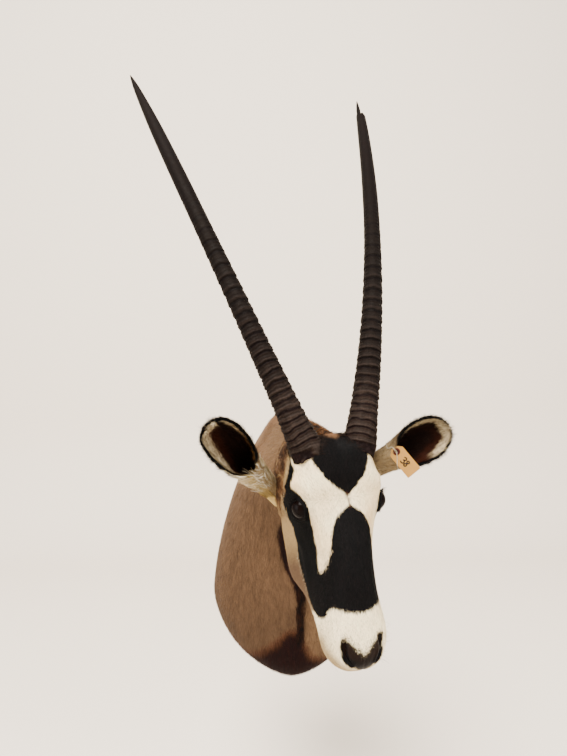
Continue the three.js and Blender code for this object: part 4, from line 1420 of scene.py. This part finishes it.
def makeEar(name):
    mesh = earShell(name)
    points = coordsOf(mesh)
    inside = isInside(name, points)
    t, around, _, _ = earPlace(name, points)
    _, along, _, across, _ = earBasis(name)
    # painted shade: the ear's skin among its hairs gets the ear colour made darker
    store(mesh, "coat", earColour(name, points, inside, 1) * 0.8, "FLOAT_COLOR")
    store(mesh, "bare", np.zeros(len(points)))
    toEdge = across * ears[name]["side"]
    edgeMm = earEdge(name, points)
    sideways = np.sign(around)[:, None] * toEdge
    outward = sideways * (1 - fade(0.86, 0.97, t))[:, None] + along * fade(0.8, 0.95, t)[:, None]
    flow = along + 0.15 * sideways + 1.6 * outward * (1 - fade(3, 8, edgeMm))[:, None]
    flow = flow + 0.7 * waves(points, 110, 41)
    long = np.where(inside, 5.0 + 4 * (1 - fade(8, 20, edgeMm)), 6.0) * (0.3 + 1.4 * noise(points * 330, 9))
    store(mesh, "flow", unit(flow), "FLOAT_VECTOR")
    store(mesh, "hairLength", long / 1000)
    store(mesh, "cover", np.where((t < 0.03) | (inside & (t < 0.3)), 0, 1))
    mesh.materials.append(skinLook)
    finished(link("ear_shell_" + name, mesh), "ear", "ear_" + name)
    hair = grown("ear_hair_" + name, mesh.copy(), shortHair, {
        "Density": 1.5e6 * 1, "Width": 0.0006, "Lift": 17.0, "Spread": 18.0,
        "Roll": 30.0, "Seed": 5, "Material": hairLook,
    })
    coloured(hair, 3, lambda roots, seed: earColour(name, roots, isInside(name, roots), seed), 6)
    finished(hair, "ear")
    print(hair.name, len(hair.data.polygons), "hairs")


makeEar("left")
makeEar("right")

# long hair

longHair = hairTree("long hair", 4)
longCoats = {
    # hairs to the square metre, width, lift, spread, curl, seed, then the colours of a clump and its
    # size in mm, or nothing where the hair has the hide's own colour
    "ear_tuft_right": (
        420000.0, 0.0006, 15.0, 22.0, -0.1, 31, ["4e3f2b", "a08f6c", "d9cdb2", "eee6d2", "c9b98f"], 3.0,
    ),
    "ear_tuft_left": (420000.0, 0.0006, 15.0, 22.0, -0.1, 32, ["5b4d38", "8d7c60", "b09e7e"], 3.0),
    "horn_collar": (700000.0, 0.00055, 30.0, 16.0, -0.25, 33, ["030202", "080504", "170d07"], 6.0),
    "nape_mane": (
        260000.0, 0.0008, 30.0, 16.0, -0.25, 34, ["080403", "150b06", "2c190d", "5e3a1d", "70492a"], 8.0,
    ),
    "throat_hair": (600000.0, 0.0008, 26.0, 16.0, -0.25, 35, ["040202", "120805", "241208"], 5.0),
    "breast_hair": (120000.0, 0.001, 15.0, 16.0, -0.25, 36, None, None),
    "cheek_hair": (260000.0, 0.0008, 14.0, 16.0, -0.25, 37, None, None),
    "mouth_tuft": (700000.0, 0.0006, 24.0, 16.0, -0.25, 38, ["bcaa88", "efe6d0", "f6efdf"], 3.0),
    "lashes": (700000.0, 0.00045, 12.0, 12.0, -0.3, 39, ["020101", "080504"], 3.0),
    "whiskers": (9000.0, 0.0003, 34.0, 20.0, -0.2, 40, ["0a0605", "1c120c"], 3.0),
}


def clumped(codes, size):  # clumps of hair in a few colours
    shades = np.array([paint(code) for code in codes])

    def colourOf(roots, seed):
        rng = np.random.default_rng(seed)
        pick = noise(roots * 1000 / size, seed) * 1.5 - 0.25 + rng.normal(0, 0.12, len(roots))
        pick = np.clip(pick * len(shades), 0, len(shades) - 0.01).astype(int)
        return shades[pick] * (1 + 0.3 * (rng.random(len(roots)) - 0.5))[:, None]

    return colourOf


def growLong(name, slot, mesh, cover, flow, length, recolour=None):
    density, width, lift, spread, curl, seed, codes, size = longCoats[name]
    source = mesh.copy()
    store(source, "cover", cover)
    store(source, "flow", unit(flow), "FLOAT_VECTOR")
    store(source, "hairLength", np.broadcast_to(np.asarray(length, float) / 1000, len(source.vertices)))
    piece = grown(name, source, longHair, {
        "Density": density * 1, "Width": width, "Lift": lift, "Spread": spread,
        "Roll": 40.0, "Curl": curl, "Seed": seed, "Material": hairLook,
    })
    colourOf = clumped(codes, size) if codes else hideColour
    coloured(piece, 10, recolour(colourOf) if recolour else colourOf, 3)
    finished(piece, slot)
    print(name, len(piece.data.polygons) // 4, "long hairs")


def earTufts(name, reach):
    mesh = bpy.data.objects["ear_shell_" + name].data
    points = coordsOf(mesh)
    t, around, _, _ = earPlace(name, points)
    _, along, mouth, across, _ = earBasis(name)
    lower = across * ears[name]["side"]
    atMouth = (np.abs(around) > 0.62) * (t > 0.14) * (t < 0.47) * np.where(around > 0, 1, 0.35)
    lowEdge = (around > 0.7) * (t > 0.42) * (t < 0.62) * (name == "right")
    cover = np.maximum(atMouth, lowEdge) * ~isInside(name, points)
    flow = along * 0.9 + mouth * 0.2 + lower * 0.5 * np.where(around > 0, 1, 0.4)[:, None]
    lengths = reach * (0.5 + 0.6 * noise(points * 120, 14)) * (1 - 0.5 * fade(0.42, 0.6, t))

    def darkerBelow(strands):
        def colourOf(roots, seed):
            t, around, _, _ = earPlace(name, roots)
            low = fade(0.74, 0.9, around) * (name == "right") * (1 - fade(0.36, 0.46, t))
            return over(strands(roots, seed), earTones["flap"], 0.8 * low)
        return colourOf

    growLong("ear_tuft_" + name, "ear", mesh, cover, flow + 1.2 * waves(points, 45, 51), lengths, darkerBelow)


earTufts("right", 23)
earTufts("left", 7)


def headFlow(l, a, n):  # per point, as L, A, N
    return fromHead(np.stack(np.broadcast_arrays(l, a, n), -1).astype(float)) - fromHead((0, 0, 0))


def longPatches():
    points = coordsOf(skinMesh)
    lan, side = mirrored(points)
    onHead = headShare(lan)
    s, a, n = lan.T
    x, y, z = points.T * 1000
    aside = x - neckMiddle(y)
    wave = waves(points, 50, 61)
    u, v, w, q = eyeSpread(lan)
    hornL, _, hornN = head["hornRoot"]
    fromHorn = np.hypot(s - hornL, n - hornN)

    def patch(name, cover, flow, waviness, length):
        growLong(name, "hide", skinMesh, cover, flow + waviness * wave, length)

    collar = (fromHorn > 18) * (fromHorn < 31) * (a < 12) * (a > -60)
    awayFromHorn = headFlow(side * (s - hornL) * 0.02, -1, (n - hornN) * 0.02)
    patch("horn_collar", collar, awayFromHorn, 0.4, 6 + 5 * (n < -44))
    # between the horns and down the back of the neck
    nape = (a < -16) * (s < 50) * (n < -34) * (n > -150)
    crest = (np.abs(aside) < 13) * (z > 190) * (y < -30) * (n < -60)
    patch("nape_mane", np.maximum(nape, 0.55 * crest), headFlow(side * 0.25, -0.5, -1), 0.7, 9 + 6 * crest)
    # the dark line down the throat, and the shaggy edge of the breast
    throat = (np.abs(aside) < 5.5) * (z > -175) * (z < -40) * (y < -150) * (onHead < 0.2)
    patch("throat_hair", throat, np.array([0.0, -0.25, -1.0]), 0.5, 17)
    breast = (z < -195) * (y < -60) * (onHead < 0.1)
    patch("breast_hair", breast, np.stack([-0.002 * aside, 0.35 + 0 * x, -1 + 0 * x], -1), 0.5, 20)
    # between the ear and the eye
    cheek = (s > 40) * (n < -58) * (n > -125) * (a > -15) * (a < 92)
    patch("cheek_hair", cheek, headFlow(side * 0.15, 1, -0.75), 0.7, 15)
    corner = np.linalg.norm(lan - np.array([41, 236, -68]), axis=1) < 6
    patch("mouth_tuft", corner, headFlow(side * 0.4, 0.9, -0.7), 0.5, 7)
    lash = (q > 1.02) * (q < 1.3) * (v > -2) * (w > 0)
    patch("lashes", lash, headFlow(side * 0.9, -0.25 + u * 0.03, 0.75), 0, 8.5)
    whiskers = ((a > 232) * (s > 30) * (n > -90) * (n < -40)) * 1.0
    patch("whiskers", whiskers, headFlow(side * 0.6, 0.5, -0.4), 0.4, 19)


longPatches()

# tag


def cardSurface(x, z, depth):  # a point on the curled card, depth mm behind its face
    bend = tag["curl"] * ((z + 20) / 28) ** 2 - 0.3 * (x / 12) ** 2
    return inTag(np.stack([x, bend - tag["curl"] * 0.5 + depth - tag["thickness"], z], -1))


def cardMaterial():
    made, tree, shader = material("card", rough=0.75, specular=0.15)
    place = objectPlace(tree)
    fibres, stains = grainNode(tree, place, 700.0, 0.9, 1.08), grainNode(tree, place, 60.0, 0.92, 1.05)
    colour = scaled(tree, scaled(tree, flatColour(tree, tag["colour"]), fibres), stains)
    tree.links.new(colour, shader.inputs["Base Color"])
    bump(tree, shader, fibres, 0.2, 0.0002)
    return made


def plainMaterial(name, code, rough, scale, metal=0.0):
    made, tree, shader = material(name, rough=rough, metal=metal, specular=0.5 if metal else 0.12)
    speckle = grainNode(tree, objectPlace(tree), scale, 0.8, 1.18)
    tree.links.new(scaled(tree, flatColour(tree, code), speckle), shader.inputs["Base Color"])
    return made


def makeCard():
    width, height, corner = tag["width"], tag["height"], tag["corner"]
    rowCount, columnCount = tag["rows"], tag["columns"]
    rows = np.linspace(corner, corner - height, rowCount)
    halfAt = np.where(rows > 0, width / 2 - rows, width / 2)
    x = halfAt[:, None] * np.linspace(-1, 1, columnCount)[None]
    z = np.repeat(rows[:, None], columnCount, 1)
    hole = np.hypot(x, z) < tag["holeRadius"]
    front, back = cardSurface(x, z, 0.0), cardSurface(x, z, tag["thickness"])
    count = rowCount * columnCount
    points = np.vstack([front.reshape(-1, 3), back.reshape(-1, 3)])
    faces, openEdges = [], {}
    for r, c in np.ndindex(rowCount - 1, columnCount - 1):
        if hole[r:r + 2, c:c + 2].any():
            continue
        a, e = r * columnCount + c, (r + 1) * columnCount + c
        b, d = a + 1, e + 1
        faces += [(a, b, d, e), (a + count, e + count, d + count, b + count)]
        for p, q in ((a, b), (b, d), (d, e), (e, a)):
            if (q, p) in openEdges:
                del openEdges[(q, p)]
            else:
                openEdges[(p, q)] = True
    faces += [(q, p, p + count, q + count) for p, q in openEdges]
    mesh = meshOf("card", points, faces, smooth=False)
    build = bmesh.new()
    build.from_mesh(mesh)
    bmesh.ops.delete(build, geom=[v for v in build.verts if not v.link_faces], context="VERTS")
    bmesh.ops.recalc_face_normals(build, faces=build.faces)
    build.to_mesh(mesh)
    build.free()
    mesh.materials.append(cardMaterial())
    return finished(link("card", mesh), "card", "tag_card")


def makePatch():
    inner, outer = tag["holeRadius"] + 0.1, tag["patchRadius"]
    section = [
        (inner, 0.0), (inner, -0.35), (inner + 0.3, -0.5), (outer - 0.3, -0.5), (outer, -0.3), (outer, 0.0),
    ]
    angle = np.linspace(0, 2 * pi, 64, endpoint=False)
    rings = np.array([[(r * np.cos(p), r * np.sin(p), d) for r, d in section] for p in angle])
    points = cardSurface(rings[..., 0], rings[..., 1], rings[..., 2] - 0.06)
    points = np.concatenate([points, points[:1]])
    mesh = outwards(meshOf("patch", *loft(points, caps=False)))
    mesh.materials.append(plainMaterial("patch", tag["patchColour"], 0.7, 500.0))
    return finished(link("patch", mesh), "patch", "tag_patch")


number = {
    "scale": 1.15, "down": 19.5, "aside": 1.7, "halfWidth": 1.0, "colour": "0c0908",  # mm
    "strokes": [  # across and up the number, mm
        [(-3.5, 3.2), (-0.9, 4.4), (0.8, 3.0), (0.2, 1.1), (-1.6, 0.3), (0.6, -0.3), (1.4, -2.3), (-0.2, -4.2),
         (-3.2, -3.6)],
        [(6.2, 3.4), (4.4, 4.4), (3.1, 2.9), (4.4, 0.6), (6.3, -1.6), (5.6, -3.9), (3.6, -3.9), (3.2, -1.9),
         (4.9, 0.4), (6.4, 2.4), (6.1, 3.6)],
    ],
}


def makeNumber():
    points, faces = [], []
    for stroke in number["strokes"]:
        corners = [(x * number["scale"] - number["aside"], z * number["scale"]) for x, z in stroke]
        path = smoothCurve(corners, 60)
        path = np.stack([path[:, 1], -path[:, 0] - number["down"]], 1)  # it reads down the card
        way = unit(np.gradient(path, axis=0))
        across = np.stack([-way[:, 1], way[:, 0]], 1) * number["halfWidth"]
        edges = [(path - across, -0.12), (path + across, -0.12), (path + across, 0.05), (path - across, 0.05)]
        strip = np.stack([cardSurface(e[:, 0], e[:, 1], np.full(len(e), depth)) for e, depth in edges], 1)
        more, moreFaces = loft(strip)
        start = sum(len(q) for q in points)
        points.append(more)
        faces += [[v + start for v in f] for f in moreFaces]
    mesh = outwards(meshOf("tag_number", np.vstack(points), faces))
    mesh.materials.append(plainMaterial("ink", number["colour"], 0.6, 900.0))
    return finished(link("tag_number", mesh), "card")


makeCard()
makePatch()
makeNumber()
tagString.data.materials.append(plainMaterial("cotton", string["colour"], 0.85, 1500.0))
print("tag")

# board and hanger


def boardMaterial():
    made, tree, shader = material("stained plywood", rough=0.68)
    plies = nodeOut(tree, "ShaderNodeTexWave", {
        "Vector": objectPlace(tree), "Scale": 95.0, "Distortion": 0.6, "Detail": 2.0,
    }, bands_direction="Y")
    grainLines = grainNode(tree, objectPlace(tree, (14, 400, 1.2)), 9.0, 0.65, 1.35)
    colour = scaled(tree, flatColour(tree, "2b211a"), grainLines)
    colour = scaled(tree, colour, remapped(tree, plies, 0.7, 1.25))
    tree.links.new(colour, shader.inputs["Base Color"])
    bump(tree, shader, grainLines, 0.25, 0.0004)
    return made


def dress(node, look):
    piece = bpy.data.objects[node] if node in bpy.data.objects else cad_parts[node]
    piece.data.materials.clear()
    piece.data.materials.append(look)


zinc = plainMaterial("zinc plate", "b4b4b0", 0.36, 260.0, metal=1.0)
dress("back_board", boardMaterial())
for node in ("hanger_plate", "hanger_screw_top", "hanger_screw_bottom"):
    dress(node, zinc)
print("board and hanger")

# floor and light

stage = {
    "floorZ": -0.62, "frontY": -4.5, "backY": 2.3, "bend": 0.7, "wallTop": 3.2, "width": 9.0,
    "colour": "dfd4c5",
    "lamps": {  # place, what it points at, size, power, colour
        "overhead": ((-1.0, -2.5, 3.9), (0, -0.3, 0.2), 2.6, 860, (1.0, 0.955, 0.9)),
        "side": ((2.0, -1.5, 1.3), (0, -0.3, 0.2), 1.4, 92, (1.0, 0.965, 0.93)),
        "fill": ((-2.2, -1.6, 0.6), (0, -0.3, 0.1), 1.6, 58, (1.0, 0.98, 0.96)),
    },
    "sky": (0.93, 0.9, 0.86, 1), "skyPower": 1.35,
}


def makeStage():
    floorZ, backY, bend = stage["floorZ"], stage["backY"], stage["bend"]
    curve = [(stage["frontY"], floorZ), (backY - bend, floorZ)]
    for angle in np.linspace(0, pi / 2, 14)[1:]:
        curve.append((backY - bend + bend * np.sin(angle), floorZ + bend * (1 - np.cos(angle))))
    curve.append((backY, stage["wallTop"]))
    half = stage["width"] / 2
    rings = np.array([[(-half, y, z), (half, y, z)] for y, z in curve])
    mesh = meshOf("floor", *loft(rings, closedAround=False, caps=False))
    look, _, shader = material("floor", rough=0.9)
    shader.inputs["Base Color"].default_value = (*paint(stage["colour"]), 1)
    mesh.materials.append(look)
    link("floor", mesh)


def areaLight(name, place, target, size, power, colour):
    light = bpy.data.lights.new(name, "AREA")
    light.size, light.energy, light.color = size, power, colour
    lamp = bpy.data.objects.new(name, light)
    facing = (Vector(target) - Vector(place)).to_track_quat("-Z", "Y").to_matrix().to_4x4()
    lamp.matrix_world = Matrix.Translation(place) @ facing
    scene.collection.objects.link(lamp)


makeStage()
for name, lamp in stage["lamps"].items():
    areaLight(name, *lamp)
world = bpy.data.worlds.new("studio")
world.use_nodes = True
background = world.node_tree.nodes["Background"].inputs
background[0].default_value, background[1].default_value = stage["sky"], stage["skyPower"]
scene.world = world
print("floor and light")
